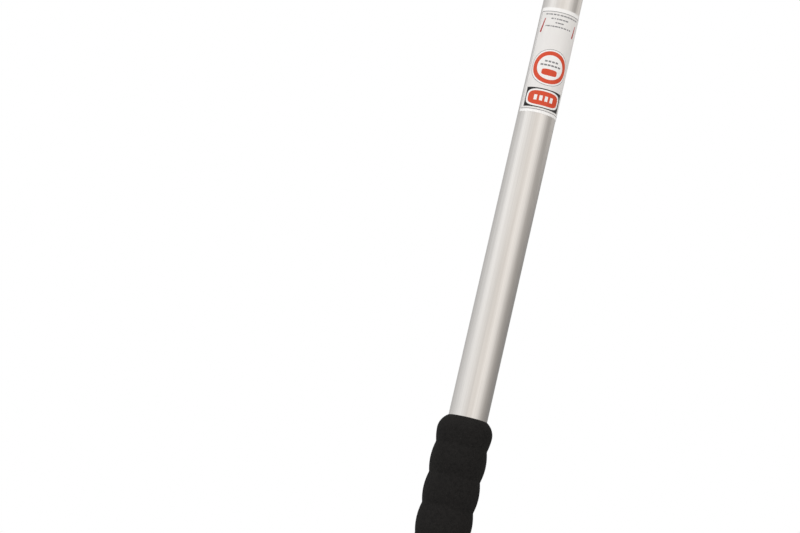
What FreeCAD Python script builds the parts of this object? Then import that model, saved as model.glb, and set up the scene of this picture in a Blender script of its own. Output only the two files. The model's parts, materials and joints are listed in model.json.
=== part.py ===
import FreeCAD
import Part

import math
import os

# Telescoping pole saw: three nested aluminium tubes with a foam grip at the butt, two cam-lever
# clamps that lock the tubes, and a curved pruning blade on a cast head at the top.
# Millimetres. +Z runs up the pole and z = 0 is the flat end of the butt cap. The front is -Y, where
# the label is, the clamps' ears point to +X, and the blade lies in the XZ plane with its teeth at -X.

V = FreeCAD.Vector
UP = V(0, 0, 1)
BACK = V(0, 1, 0)
ORIGIN = V(0, 0, 0)

# ---- Driving sizes -----------------------------------------------------------------------------
# Tubes
outer_tube_od = 32.0
tube_wall = 1.4
tube_gap = 0.4                # between one tube and the next one inside it
outer_tube_length = 882.0
middle_tube_length = 915.0
tube_end_step = 32.0          # how far each nested tube's foot stands above the one around it
inner_tube_showing = 35.0     # bare inner tube between the upper clamp and the head

# Fits
press_gap = 0.0               # pieces fixed on each other share the same radius
slide_gap = 0.15              # a clamp's bore over the tube that slides in it
glide_gap = 0.1               # a nylon foot inside the tube it slides in
pin_gap = 0.05                # a turning fit on a pin or bolt
bolt_gap = 0.1                # a bolt in a plain hole
face_gap = 0.1                # between flat faces that slide on each other
park_gap = 2.0                # between the two clamps when the pole is shut

# Butt cap
cap_rim = 3.0                 # how far the cap stands out past the tube
cap_height = 18.0
cap_flat_depth = 3.5
cap_flat_margin = 3.0
cap_plug_length = 30.0
cap_plug_wall = 2.6
cap_rib_height = 0.35
cap_plug_floor = 1.5          # how far the plug's hollow goes into the end
cap_foot_round = 2.5
cap_top_round = 1.0
cap_rib_count = 3
cap_rib_first = 5.0           # from the cap's top to the first rib
cap_rib_pitch = 8.0
cap_rib_width = 2.5
hang_hole_radius = 4.0

# Foam grip: a sleeve with ring waves
grip_waves = 8                # full waves between the two end bulges
grip_pitch = 25.0
grip_end_bulge = 23.7         # from the sleeve's end to the first valley
grip_bulge_wall = 6.85
grip_valley_wall = 5.0
grip_bulge_share = 0.65       # share of each wave's curve that belongs to the bulge

# Label
label_above_grip = 257.0
label_height = 90.5
label_left_deg = 69.0         # from the front towards -X
label_right_deg = 95.0        # from the front towards +X
label_thickness = 0.2

# Cam-lever clamps
collar_wall = 4.5
collar_sleeve_length = 38.0
collar_clamp_length = 38.0
collar_slit = 2.0
collar_slit_floor = 1.0       # from the fixed tube's end up to the slit's foot
collar_relief = 1.6
collar_relief_start = 2.0     # from the pole's axis plane towards the ears
collar_foot_chamfer = 1.5
collar_top_round = 2.0
collar_bead_count = 2
collar_bead_first = 5.0
collar_bead_pitch = 4.0
collar_bead_radius = 1.0
collar_bead_sunk = 0.2
ear_corner_round = 5.0
ear_half_thickness = 8.5
ear_reach = 14.0
ear_inset = 2.0
draw_bolt_radius = 2.5
draw_bolt_out = 7.0           # from the collar's wall to the draw bolt's axis
draw_bolt_spare = 1.5         # bolt that stands out of its nut
cam_pad_thickness = 1.0
cam_pad_half_width = 6.0
cam_pad_half_height = 11.0
cam_radius = 5.7
cam_throw = 0.7
cam_pin_radius = 2.0
cam_pin_head = 1.0            # height of the pin's heads, and how far they stand out past it
eye_radius = 5.0
eye_height = 6.0
eye_gap = 0.2                 # beside the eye in the lever's slot
eye_pin_gap = 0.03            # the eye on the cam pin
eye_slot_margin = 1.4
lever_height = 24.0
lever_gap = 1.2
lever_thickness = 4.8
lever_start_deg = 70.0        # from the ears towards the front, where the arm meets the collar
lever_wrap_deg = 166.0        # where it leaves the collar and flares into the finger tip
lever_flare_deg = 8.0         # before lever_wrap_deg, where the outer face begins to flare
lever_tip_in_deg = 11.0
lever_tip_in_rise = 3.6
lever_tip_out_deg = 6.0
lever_tip_out_rise = 6.2
lever_root_in = V(-3.4, 4.2, 0)     # from the pin's axis to the arm's inner face
lever_root_out_x = -1.2
lever_root_out_skin = 0.6
lever_edge_chamfer = 0.8
nut_across_flats = 8.0
nut_height = 4.5
nut_crown_height = 1.2
nut_crown_inset = 0.3
washer_thickness = 1.0
collar_screw_radius = 1.6
collar_screw_head_radius = 3.2
collar_screw_head_height = 1.8
collar_screw_sunk = 0.8
collar_screw_head_round = 1.0
collar_screw_slot = 0.9       # width of the driver's slot, and its floor's height over the seat
collar_screw_seat_depth = 4.0
collar_screw_angles = (140.0, 220.0)

# Nylon feet
foot_flange_height = 6.0
foot_insert_length = 20.0
foot_wall = 2.2
foot_chamfer = 1.0

# Saw head
socket_wall = 4.1
socket_length = 70.0
socket_cap = 6.0
neck_height = 8.0             # the slope that joins the socket to the tang
socket_lip_height = 7.0
socket_lip_out = 1.4
socket_lip_round = 1.2
socket_root_share = 0.8       # of the socket's radius, the tang's half width inside it
tang_thickness = 7.5
tang_half_width = 18.0
lock_radius = 34.0            # from the pivot to the locking bolt
blade_swing_deg = 15.0
head_bolt_radius = 3.0
head_nut_across_flats = 10.0
head_nut_height = 4.6
head_nut_collar_height = 1.6
head_nut_collar_inset = 0.4
pivot_bolt_past_hook = 8.0
lock_head_radius = 7.5
lock_head_height = 3.4
lock_head_round = 3.0
head_bolt_head_height = 4.0
head_washer_radius = 9.0
head_washer_thickness = 1.9
wing_nut_hub_radius = 6.2
wing_nut_hub_height = 8.5
wing_nut_hub_taper = 1.2
wing_span = 33.0
wing_thickness = 2.6
wing_root_out = 0.5           # from the bolt's hole to the wing's inner edge
wing_flare_out = 1.5          # from the hub's foot to where the wing leaves it
wing_rise = 2.0               # how far the wing's corner stands over the hub's top
wing_shoulder_drop = 1.0
wing_edge_height = 4.0
wing_crown = (6.0, 3.6)       # from the corner in along the wing, and up to its crown
wing_crown_middle = (0.8, 2.4)
lock_bolt_spare = 5.5         # bolt that stands out of the wing nut

# Snap button
button_radius = 3.5
button_flange_radius = 5.0
button_stands_out = 1.6
button_above_mouth = 30.0
button_flange_height = 1.2
button_flange_clearance = 0.1
button_round = 1.4
button_spring_thickness = 0.7
button_spring_width = 7.0
button_spring_above = 7.0     # from the button's axis to the ends of the spring's arms
button_spring_below = 24.0    # from the button's axis down to where its bend begins

# Blade
blade_thickness = 1.6
blade_length = 325.0          # chord of the toothed edge
blade_lean_deg = 15.0         # of that chord from the pole's axis
blade_sag = 26.0              # of the toothed edge's arc
blade_back_sag = 26.0
blade_base_half_width = 20.0
blade_heel_above_pivot = 60.0
blade_back_above_pivot = 42.0
blade_tip_width = 9.0
blade_tip_rise = 5.0          # the back corner of the tip over its toothed corner
blade_heel_inset = 1.5        # the heel of the teeth, in from the base's side
blade_slot_spare_deg = 0.5    # slot past each end of the swing
blade_heel_radius = 17.0
tooth_pitch = 4.2
tooth_depth = 3.4
tooth_lean = 0.32             # where the tooth's point stands along its pitch

# Limb hook
hook_thickness = 3.0
hook_plate_half_width = 11.0
hook_bend_radius = 12.0
hook_finger_width = 12.0
hook_reach = 34.0
hook_finger_drop = 26.0
hook_finger_splay = 4.0
hook_point_width = 4.0
hook_point_drop = 1.0
hook_bend_below_pivot = 10.0  # from the pivot down to the arm's upper bend line
hook_shoulder = 6.0           # from the pivot up to where the plate's round top begins
hook_crown = 3.0
hook_rivet_radius = 2.5
hook_rivet_head_height = 2.2
hook_rivet_head_round = 1.6
hook_foot_gap = 1.0           # between the neck and the hook's plate
hook_rivet_edge = 7.0         # from the plate's foot to the rivet
hook_rivet_to_pivot = 20.0

# Cutting tools only
past = 1.0                    # how far a cut runs past the face it leaves by
through = 60.0                # longer than any piece is thick

# ---- Places that follow from those sizes -------------------------------------------------------
outer_r = outer_tube_od / 2
outer_bore_r = outer_r - tube_wall
middle_r = outer_bore_r - tube_gap
middle_bore_r = middle_r - tube_wall
inner_r = middle_bore_r - tube_gap
inner_bore_r = inner_r - tube_wall
cap_radius = outer_r + cap_rim
cap_flat_half_width = cap_radius - cap_flat_depth
grip_bulge_radius = outer_r + grip_bulge_wall
grip_valley_radius = outer_r + grip_valley_wall

outer_foot = cap_height
outer_top = outer_foot + outer_tube_length
grip_foot = cap_height
grip_length = 2 * grip_end_bulge + grip_waves * grip_pitch
grip_top = grip_foot + grip_length
label_foot = grip_top + label_above_grip

lower_collar_foot = outer_top - collar_sleeve_length
lower_collar_top = outer_top + collar_clamp_length
upper_collar_foot = lower_collar_top + park_gap
middle_top = upper_collar_foot + collar_sleeve_length
middle_foot = middle_top - middle_tube_length
upper_collar_top = middle_top + collar_clamp_length
inner_foot = middle_foot + tube_end_step

socket_foot = upper_collar_top + inner_tube_showing
inner_top = socket_foot + socket_length - socket_cap
socket_top = socket_foot + socket_length
socket_r = inner_r + socket_wall
blade_half = blade_thickness / 2
tang_front = blade_half + face_gap
tang_back = tang_front + tang_thickness
hook_plate_foot = socket_top + neck_height + hook_foot_gap
rivet_z = hook_plate_foot + hook_rivet_edge
pivot_z = rivet_z + hook_rivet_to_pivot
lock_z = pivot_z + lock_radius
washer_front = -blade_half - face_gap - head_washer_thickness
button_z = socket_foot + button_above_mouth


# ---- Small shape helpers -----------------------------------------------------------------------
def cylinder(radius, low, high, x=0.0, y=0.0):
    """A solid cylinder along +Z."""
    return Part.makeCylinder(radius, high - low, V(x, y, low), UP)


def cross_cylinder(radius, front, back, x=0.0, z=0.0):
    """A solid cylinder along +Y, from front to back."""
    return Part.makeCylinder(radius, back - front, V(x, front, z), BACK)


def pipe(radius, bore, low, high):
    """A plain tube along +Z."""
    return cylinder(radius, low, high).cut(cylinder(bore, low, high))


def block(x0, x1, y0, y1, z0, z1):
    """A box between two corners."""
    return Part.makeBox(x1 - x0, y1 - y0, z1 - z0, V(x0, y0, z0))


def polar(radius, degrees, z=0.0):
    """A point at an angle from +X round the pole."""
    a = math.radians(degrees)
    return V(radius * math.cos(a), radius * math.sin(a), z)


def line(a, b):
    return Part.LineSegment(a, b).toShape()


def arc(a, middle, b):
    return Part.Arc(a, middle, b).toShape()


def arc_about(centre, radius, start, end, z=0.0):
    """An arc in the XY plane between two angles."""
    return arc(*[centre + polar(radius, d, z) for d in (start, (start + end) / 2, end)])


def side_arc(centre, radius, start, end):
    """An arc in the XZ plane between two angles from +X."""
    points = []
    for degrees in (start, (start + end) / 2, end):
        a = math.radians(degrees)
        points.append(centre + V(radius * math.cos(a), 0, radius * math.sin(a)))
    return arc(*points)


def turned(edges):
    """The solid that a closed outline in the XZ plane makes when it turns round the pole's axis."""
    return Part.Face(Part.Wire(edges)).revolve(ORIGIN, UP, 360)


def plate(edges, front, back):
    """A flat plate from a closed outline in the XZ plane at y = 0."""
    sheet = Part.Face(Part.Wire(edges)).extrude(V(0, back - front, 0))
    return sheet.translated(V(0, front, 0))


def hexagon(across_flats, height, base, direction):
    """A hexagonal prism whose axis starts at base."""
    corner = across_flats / math.sqrt(3)
    points = [polar(corner, 60 * k) for k in range(6)]
    points.append(points[0])
    prism = Part.Face(Part.makePolygon(points)).extrude(V(0, 0, height))
    prism.Placement = FreeCAD.Placement(base, FreeCAD.Rotation(UP, direction))
    return prism


def ring_edges(shape, radius, z):
    """The circular edges of a given radius at a height on the pole's axis."""
    found = []
    for edge in shape.Edges:
        curve = edge.Curve
        if isinstance(curve, Part.Circle) and abs(curve.Radius - radius) < 1e-4:
            if abs(curve.Center.z - z) < 1e-4:
                found.append(edge)
    return found


# ---- Root: outer tube, grip and lower clamp ----------------------------------------------------
def butt_cap():
    """Moulded end cap: a ribbed plug in the tube, and a round end with a cross hole to hang it by."""
    end = cylinder(cap_radius, 0, cap_height)
    end = end.makeFillet(cap_foot_round, ring_edges(end, cap_radius, 0))
    end = end.makeFillet(cap_top_round, ring_edges(end, cap_radius, cap_height))
    plug_r = outer_bore_r - cap_rib_height
    plug_top = cap_height + cap_plug_length
    plug = cylinder(plug_r, cap_height, plug_top)
    for k in range(cap_rib_count):
        rib_foot = cap_height + cap_rib_first + cap_rib_pitch * k
        plug = plug.fuse(cylinder(outer_bore_r - press_gap, rib_foot, rib_foot + cap_rib_width))
    cap = end.fuse(plug)
    cap = cap.cut(cylinder(plug_r - cap_plug_wall, cap_height - cap_plug_floor, plug_top))
    for side in (-1, 1):
        near, far = side * cap_flat_half_width, side * (cap_radius + past)
        low, high = min(near, far), max(near, far)
        cap = cap.cut(
            block(-cap_radius, cap_radius, low, high, cap_flat_margin, cap_height - cap_flat_margin)
        )
    hole = cross_cylinder(hang_hole_radius, -through, through, 0, cap_height / 2)
    return cap.cut(hole).removeSplitter()


def foam_grip():
    """Foam sleeve whose outline is tangent arcs: round bulges joined by tighter valleys."""
    half = grip_pitch / 2
    depth = grip_bulge_radius - grip_valley_radius
    slope = 2 * math.atan(depth / half)
    radii = half / math.sin(slope)
    bulge_half = grip_bulge_share * half
    valley_half = half - bulge_half
    shoulder = grip_bulge_radius - grip_bulge_share * radii * (1 - math.cos(slope))
    lean = slope / 2

    def bulge_at(offset):
        drop = grip_bulge_share * radii * (1 - math.cos(lean))
        return V(grip_bulge_radius - drop, 0, offset)

    quarter = grip_bulge_share * radii * math.sin(lean)
    end_peak = grip_end_bulge - half
    depth_to_tube = grip_bulge_radius - outer_r
    end_r = (end_peak**2 + depth_to_tube**2) / (2 * depth_to_tube)
    end_turn = math.asin(end_peak / end_r) / 2
    end_mid = V(
        grip_bulge_radius - end_r * (1 - math.cos(end_turn)), 0, end_r * math.sin(end_turn)
    )

    edges = []
    first_peak = grip_foot + end_peak
    here = V(grip_bulge_radius, 0, first_peak)
    edges.append(arc(V(outer_r, 0, grip_foot), V(end_mid.x, 0, first_peak - end_mid.z), here))
    for k in range(grip_waves + 1):
        peak = first_peak + k * grip_pitch
        valley = peak + half
        after = V(shoulder, 0, peak + bulge_half)
        edges.append(arc(V(grip_bulge_radius, 0, peak), bulge_at(peak + quarter), after))
        before = V(shoulder, 0, valley + valley_half)
        edges.append(arc(after, V(grip_valley_radius, 0, valley), before))
        here = V(grip_bulge_radius, 0, valley + half)
        edges.append(arc(before, bulge_at(valley + half - quarter), here))
    end = V(outer_r, 0, grip_top)
    edges.append(arc(here, V(end_mid.x, 0, here.z + end_mid.z), end))
    edges.append(line(end, V(outer_r, 0, grip_foot)))
    return turned(edges)


def outer_tube():
    """The widest tube, with two holes for the lower collar's screws."""
    tube = pipe(outer_r, outer_bore_r, outer_foot, outer_top)
    for degrees in collar_screw_angles:
        tube = tube.cut(screw_hole(degrees, outer_top - collar_sleeve_length / 2))
    return tube


def label():
    """A film wrapped on the front of the outer tube."""
    wrap = label_left_deg + label_right_deg
    film = Part.makeCylinder(
        outer_r + label_thickness, label_height, V(0, 0, label_foot), UP, wrap
    )
    film.rotate(ORIGIN, UP, -90 - label_left_deg)
    return film.cut(cylinder(outer_r, label_foot - past, label_foot + label_height + past))


# ---- Cam-lever clamps --------------------------------------------------------------------------
class Clamp:
    """The sizes and places of one clamp: it is fixed on one tube and closes on the next."""

    def __init__(self, foot, fixed_r, slide_r, fixed_bore_r):
        self.foot = foot
        self.split = foot + collar_sleeve_length
        self.top = self.split + collar_clamp_length
        self.fixed_r = fixed_r
        self.slide_r = slide_r
        self.fixed_bore_r = fixed_bore_r
        self.wall_r = fixed_r + collar_wall
        self.bolt_x = self.wall_r + draw_bolt_out
        self.middle = (self.split + collar_relief + self.top) / 2
        self.pad_front = -ear_half_thickness - cam_pad_thickness
        self.pin_y = self.pad_front - face_gap - cam_radius - cam_throw
        self.screw_z = foot + collar_sleeve_length / 2


lower_clamp = Clamp(lower_collar_foot, outer_r, middle_r, outer_bore_r)
upper_clamp = Clamp(upper_collar_foot, middle_r, inner_r, middle_bore_r)


def screw_hole(degrees, z):
    """A radial hole for a collar screw, from the axis out."""
    return Part.makeCylinder(collar_screw_radius + bolt_gap, through, V(0, 0, z), polar(1, degrees))


def collar(c):
    """Moulded collar: a sleeve on the fixed tube, and above it a slit ring with two ears."""
    body = cylinder(c.wall_r, c.foot, c.top)
    body = body.makeChamfer(collar_foot_chamfer, ring_edges(body, c.wall_r, c.foot))
    body = body.makeFillet(collar_top_round, ring_edges(body, c.wall_r, c.top))
    for k in range(collar_bead_count):
        bead = c.foot + collar_bead_first + collar_bead_pitch * k
        ring = Part.makeTorus(c.wall_r - collar_bead_sunk, collar_bead_radius, V(0, 0, bead), UP)
        body = body.fuse(ring)
    ear_low = c.split + collar_relief + ear_inset
    ear = block(
        0, c.wall_r + ear_reach, -ear_half_thickness, ear_half_thickness, ear_low, c.top - ear_inset
    )
    rounded = []
    for edge in ear.Edges:
        ends = [vertex.Point for vertex in edge.Vertexes]
        if all(abs(p.x - c.wall_r - ear_reach) < 1e-6 for p in ends):
            if abs(ends[0].y - ends[1].y) > 1:
                rounded.append(edge)
    ear = ear.makeFillet(ear_corner_round, rounded)
    body = body.fuse(ear)
    body = body.cut(cylinder(c.fixed_r + press_gap, c.foot - past, c.split))
    body = body.cut(cylinder(c.slide_r + slide_gap, c.split - past, c.top + past))
    far = c.wall_r + ear_reach + past
    low = c.split + collar_slit_floor
    body = body.cut(block(0, far, -collar_slit / 2, collar_slit / 2, low, c.top + past))
    body = body.cut(block(collar_relief_start, far, -through, through, low, low + collar_relief))
    body = body.cut(
        cross_cylinder(draw_bolt_radius + bolt_gap, -through, through, c.bolt_x, c.middle)
    )
    for degrees in collar_screw_angles:
        body = body.cut(screw_hole(degrees, c.screw_z))
        seat = Part.makeCylinder(
            collar_screw_head_radius + bolt_gap,
            collar_screw_seat_depth,
            polar(c.wall_r - collar_screw_sunk, degrees, c.screw_z),
            polar(1, degrees),
        )
        body = body.cut(seat)
    return body.removeSplitter()


def collar_screws(c):
    """Two pan-head screws that hold the collar on its tube and end flush inside it."""
    screws = []
    seat = c.wall_r - collar_screw_sunk
    end = c.fixed_bore_r + bolt_gap
    for degrees in collar_screw_angles:
        out = polar(1, degrees)
        shank = Part.makeCylinder(
            collar_screw_radius, seat - end, polar(end, degrees, c.screw_z), out
        )
        head = Part.makeCylinder(
            collar_screw_head_radius, collar_screw_head_height, polar(seat, degrees, c.screw_z), out
        )
        far = seat + collar_screw_head_height - 0.1
        crown = [
            e for e in head.Edges if e.CenterOfMass.distanceToPoint(V(0, 0, c.screw_z)) > far
        ]
        head = head.makeFillet(collar_screw_head_round, crown[:1])
        slot = block(
            -collar_screw_slot / 2, collar_screw_slot / 2,
            -through, through, collar_screw_slot, collar_screw_head_height + past,
        )
        slot.Placement = FreeCAD.Placement(
            polar(seat, degrees, c.screw_z), FreeCAD.Rotation(UP, out)
        )
        screws.append(shank.fuse(head).cut(slot))
    return Part.makeCompound(screws)


def cam_lever(c):
    """Lever that wraps round the collar when shut; its off-centre knuckle presses on the cam pad."""
    pin = V(c.bolt_x, c.pin_y, 0)
    inner = c.wall_r + lever_gap
    outer = inner + lever_thickness
    low = c.middle - lever_height / 2
    start, wrap = -lever_start_deg, -lever_wrap_deg
    flare = wrap + lever_flare_deg
    root_in = pin + lever_root_in
    root_out = pin + V(lever_root_out_x, -cam_radius + lever_root_out_skin, 0)
    tip_in = polar(outer + lever_tip_in_rise, wrap - lever_tip_in_deg)
    tip_out = polar(outer + lever_tip_out_rise, wrap - lever_tip_out_deg)
    edges = [
        line(root_in, polar(inner, start)),
        arc_about(ORIGIN, inner, start, wrap),
        line(polar(inner, wrap), tip_in),
        line(tip_in, tip_out),
        line(tip_out, polar(outer, flare)),
        arc_about(ORIGIN, outer, flare, start),
        line(polar(outer, start), root_out),
        line(root_out, root_in),
    ]
    arm = Part.Face(Part.Wire(edges)).extrude(V(0, 0, lever_height)).translated(V(0, 0, low))
    knuckle = cylinder(cam_radius, low, low + lever_height, pin.x, pin.y + cam_throw)
    lever = arm.fuse(knuckle).removeSplitter()
    rims = [e for e in lever.Edges if lies_in_level(e, low) or lies_in_level(e, low + lever_height)]
    lever = lever.makeChamfer(lever_edge_chamfer, rims)
    half_slot = eye_height / 2 + eye_gap
    slot_r = cam_radius + cam_throw + eye_slot_margin
    eye_slot = cylinder(slot_r, c.middle - half_slot, c.middle + half_slot, pin.x, pin.y)
    return lever.cut(eye_slot).cut(
        cylinder(cam_pin_radius + pin_gap, low - past, low + lever_height + past, pin.x, pin.y)
    )


def lies_in_level(edge, z):
    """True if the whole edge is at height z."""
    box = edge.BoundBox
    return abs(box.ZMin - z) < 1e-5 and abs(box.ZMax - z) < 1e-5


def cam_pin(c):
    """Pin that the lever turns on, with a head at each end."""
    half = lever_height / 2 + face_gap
    pin = cylinder(cam_pin_radius, c.middle - half, c.middle + half, c.bolt_x, c.pin_y)
    for foot in (c.middle - half - cam_pin_head, c.middle + half):
        head = cylinder(cam_pin_radius + cam_pin_head, foot, foot + cam_pin_head, c.bolt_x, c.pin_y)
        pin = pin.fuse(head)
    return pin.removeSplitter()


def draw_bolt(c):
    """Eye bolt: the eye is on the cam pin, and the shank pulls the ears together."""
    half = eye_height / 2
    eye = cylinder(eye_radius, c.middle - half, c.middle + half, c.bolt_x, c.pin_y)
    end = ear_half_thickness + washer_thickness + nut_height + draw_bolt_spare
    shank = cross_cylinder(draw_bolt_radius, c.pin_y, end, c.bolt_x, c.middle)
    hole = cylinder(
        cam_pin_radius + eye_pin_gap, c.middle - half - past, c.middle + half + past, c.bolt_x, c.pin_y
    )
    return eye.fuse(shank).cut(hole).removeSplitter()


def cam_pad(c):
    """Steel wear plate between the cam and the front ear."""
    left, right = c.bolt_x - cam_pad_half_width, c.bolt_x + cam_pad_half_width
    low, high = c.middle - cam_pad_half_height, c.middle + cam_pad_half_height
    pad = block(left, right, c.pad_front, -ear_half_thickness, low, high)
    return pad.cut(cross_cylinder(draw_bolt_radius + bolt_gap, -through, 0, c.bolt_x, c.middle))


def tension_washer(c):
    ring = cross_cylinder(
        2 * draw_bolt_radius, ear_half_thickness, ear_half_thickness + washer_thickness, c.bolt_x, c.middle
    )
    return ring.cut(cross_cylinder(draw_bolt_radius + bolt_gap, 0, through, c.bolt_x, c.middle))


def tension_nut(c):
    """Self-locking hexagon nut that sets the clamp's grip."""
    foot = ear_half_thickness + washer_thickness
    hexagon_height = nut_height - nut_crown_height
    nut = hexagon(nut_across_flats, hexagon_height, V(c.bolt_x, foot, c.middle), BACK)
    crown_r = nut_across_flats / 2 - nut_crown_inset
    crown = cross_cylinder(crown_r, foot + hexagon_height, foot + nut_height, c.bolt_x, c.middle)
    nut = nut.fuse(crown)
    return nut.cut(cross_cylinder(draw_bolt_radius + pin_gap, 0, through, c.bolt_x, c.middle))


# ---- Sliding tubes and their feet --------------------------------------------------------------
def middle_tube():
    tube = pipe(middle_r, middle_bore_r, middle_foot, middle_top)
    for degrees in collar_screw_angles:
        tube = tube.cut(screw_hole(degrees, upper_clamp.screw_z))
    return tube


def sliding_foot(foot, tube_r, tube_bore_r, guide_bore_r):
    """Nylon foot: a flange that slides in the tube outside, and an insert in the tube above it."""
    flange_r = guide_bore_r - glide_gap
    hole_r = tube_bore_r - foot_wall
    flange = cylinder(flange_r, foot - foot_flange_height, foot)
    flange = flange.makeChamfer(foot_chamfer, ring_edges(flange, flange_r, foot - foot_flange_height))
    insert = cylinder(tube_bore_r - press_gap, foot, foot + foot_insert_length)
    body = flange.fuse(insert)
    return body.cut(cylinder(hole_r, foot - foot_flange_height - past, foot + foot_insert_length + past))


def inner_tube():
    """The thinnest tube, with the snap button's hole near its top."""
    tube = pipe(inner_r, inner_bore_r, inner_foot, inner_top)
    return tube.cut(cross_cylinder(button_radius + bolt_gap, -through, 0, 0, button_z))


# ---- Saw head ----------------------------------------------------------------------------------
def tang():
    """Flat plate beside the blade, round at the top and drawn in where it enters the socket."""
    w = tang_half_width
    root_w = socket_root_share * socket_r
    root = socket_top - socket_cap
    shoulder = root + 2 * (w - root_w)
    edges = [
        line(V(-root_w, 0, root), V(root_w, 0, root)),
        line(V(root_w, 0, root), V(w, 0, shoulder)),
        line(V(w, 0, shoulder), V(w, 0, lock_z)),
        side_arc(V(0, 0, lock_z), w, 0, 180),
        line(V(-w, 0, lock_z), V(-w, 0, shoulder)),
        line(V(-w, 0, shoulder), V(-root_w, 0, root)),
    ]
    return plate(edges, tang_front, tang_back)


def saw_head():
    """Cast head: a blind socket on the inner tube, and a flat tang beside the blade."""
    body = cylinder(socket_r, socket_foot, socket_top)
    lip_r = socket_r + socket_lip_out
    lip_top = socket_foot + socket_lip_height
    lip = cylinder(lip_r, socket_foot, lip_top)
    lip = lip.makeFillet(socket_lip_round, ring_edges(lip, lip_r, lip_top))
    body = body.fuse(lip)
    shoulder_top = socket_top + neck_height
    neck = cylinder(socket_r, socket_top, shoulder_top)
    front_cut = block(-through, through, -through, tang_front, socket_top, shoulder_top + past)
    far, above = socket_r + past, shoulder_top + past
    slope = [
        line(V(0, far, socket_top), V(0, far, above)),
        line(V(0, far, above), V(0, tang_back, above)),
        line(V(0, tang_back, above), V(0, tang_back, shoulder_top)),
        line(V(0, tang_back, shoulder_top), V(0, far, socket_top)),
    ]
    back_cut = Part.Face(Part.Wire(slope)).extrude(V(2 * through, 0, 0))
    back_cut = back_cut.translated(V(-through, 0, 0))
    body = body.fuse(neck.cut(front_cut).cut(back_cut))
    body = body.fuse(tang())
    body = body.cut(cylinder(inner_r + pin_gap, socket_foot - past, inner_top))
    body = body.cut(cross_cylinder(button_radius + bolt_gap, -through, 0, 0, button_z))
    for z in (pivot_z, lock_z):
        body = body.cut(cross_cylinder(head_bolt_radius + bolt_gap, 0, through, 0, z))
    body = body.cut(cross_cylinder(hook_rivet_radius + bolt_gap, 0, through, 0, rivet_z))
    return body.removeSplitter()


def blade_edge_points():
    """The toothed edge from the tip down to the heel: a saw tooth along an arc."""
    heel = V(-blade_base_half_width + blade_heel_inset, 0, pivot_z + blade_heel_above_pivot)
    lean = math.radians(blade_lean_deg)
    along = V(-math.sin(lean), 0, math.cos(lean))
    across = V(math.cos(lean), 0, math.sin(lean))
    radius = (blade_length**2 / 4 + blade_sag**2) / (2 * blade_sag)
    centre = heel + along * (blade_length / 2) + across * (blade_sag - radius)
    half_turn = math.asin(blade_length / 2 / radius)
    count = int(round(2 * half_turn * radius / tooth_pitch))

    def on_arc(share, depth):
        turn = half_turn * (2 * share - 1)
        r = radius - depth
        return centre + across * (r * math.cos(turn)) + along * (r * math.sin(turn))

    points = []
    for k in range(count, 0, -1):
        points.append(on_arc(k / count, 0))
        points.append(on_arc((k - 1 + tooth_lean) / count, tooth_depth))
    points.append(on_arc(0, 0))
    return points


def saw_blade():
    """Curved pruning blade with a pivot hole and an arc slot that the locking bolt runs in."""
    edge = blade_edge_points()
    tip, heel = edge[0], edge[-1]
    lean = math.radians(blade_lean_deg)
    across = V(math.cos(lean), 0, math.sin(lean))
    tip_back = tip + across * blade_tip_width + V(0, 0, blade_tip_rise)
    back_foot = V(blade_base_half_width, 0, pivot_z + blade_back_above_pivot)
    chord = tip_back - back_foot
    outward = V(chord.z, 0, -chord.x).normalize()
    back_mid = back_foot + chord * 0.5 + outward * blade_back_sag
    pivot = V(0, 0, pivot_z)
    heel_start = pivot + V(-blade_heel_radius, 0, 0)
    heel_end = pivot + V(blade_heel_radius, 0, 0)
    edges = [line(a, b) for a, b in zip(edge[:-1], edge[1:])]
    edges += [
        line(heel, heel_start),
        side_arc(pivot, blade_heel_radius, 180, 360),
        line(heel_end, back_foot),
        arc(back_foot, back_mid, tip_back),
        line(tip_back, tip),
    ]
    blade = plate(edges, -blade_half, blade_half)
    blade = blade.cut(cross_cylinder(head_bolt_radius + pin_gap, -through, through, 0, pivot_z))
    reach = blade_swing_deg + blade_slot_spare_deg
    half_slot = head_bolt_radius + bolt_gap
    outer_arc = side_arc(pivot, lock_radius + half_slot, 90 - reach, 90 + reach)
    inner_arc = side_arc(pivot, lock_radius - half_slot, 90 + reach, 90 - reach)
    ends = []
    for degrees, sense in ((90 + reach, 1), (90 - reach, -1)):
        a = math.radians(degrees)
        centre = pivot + V(lock_radius * math.cos(a), 0, lock_radius * math.sin(a))
        first = degrees if sense == 1 else degrees + 180
        ends.append(side_arc(centre, half_slot, first, first + 180))
    slot = plate([outer_arc, ends[0], inner_arc, ends[1]], -through, through)
    return blade.cut(slot)


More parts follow.
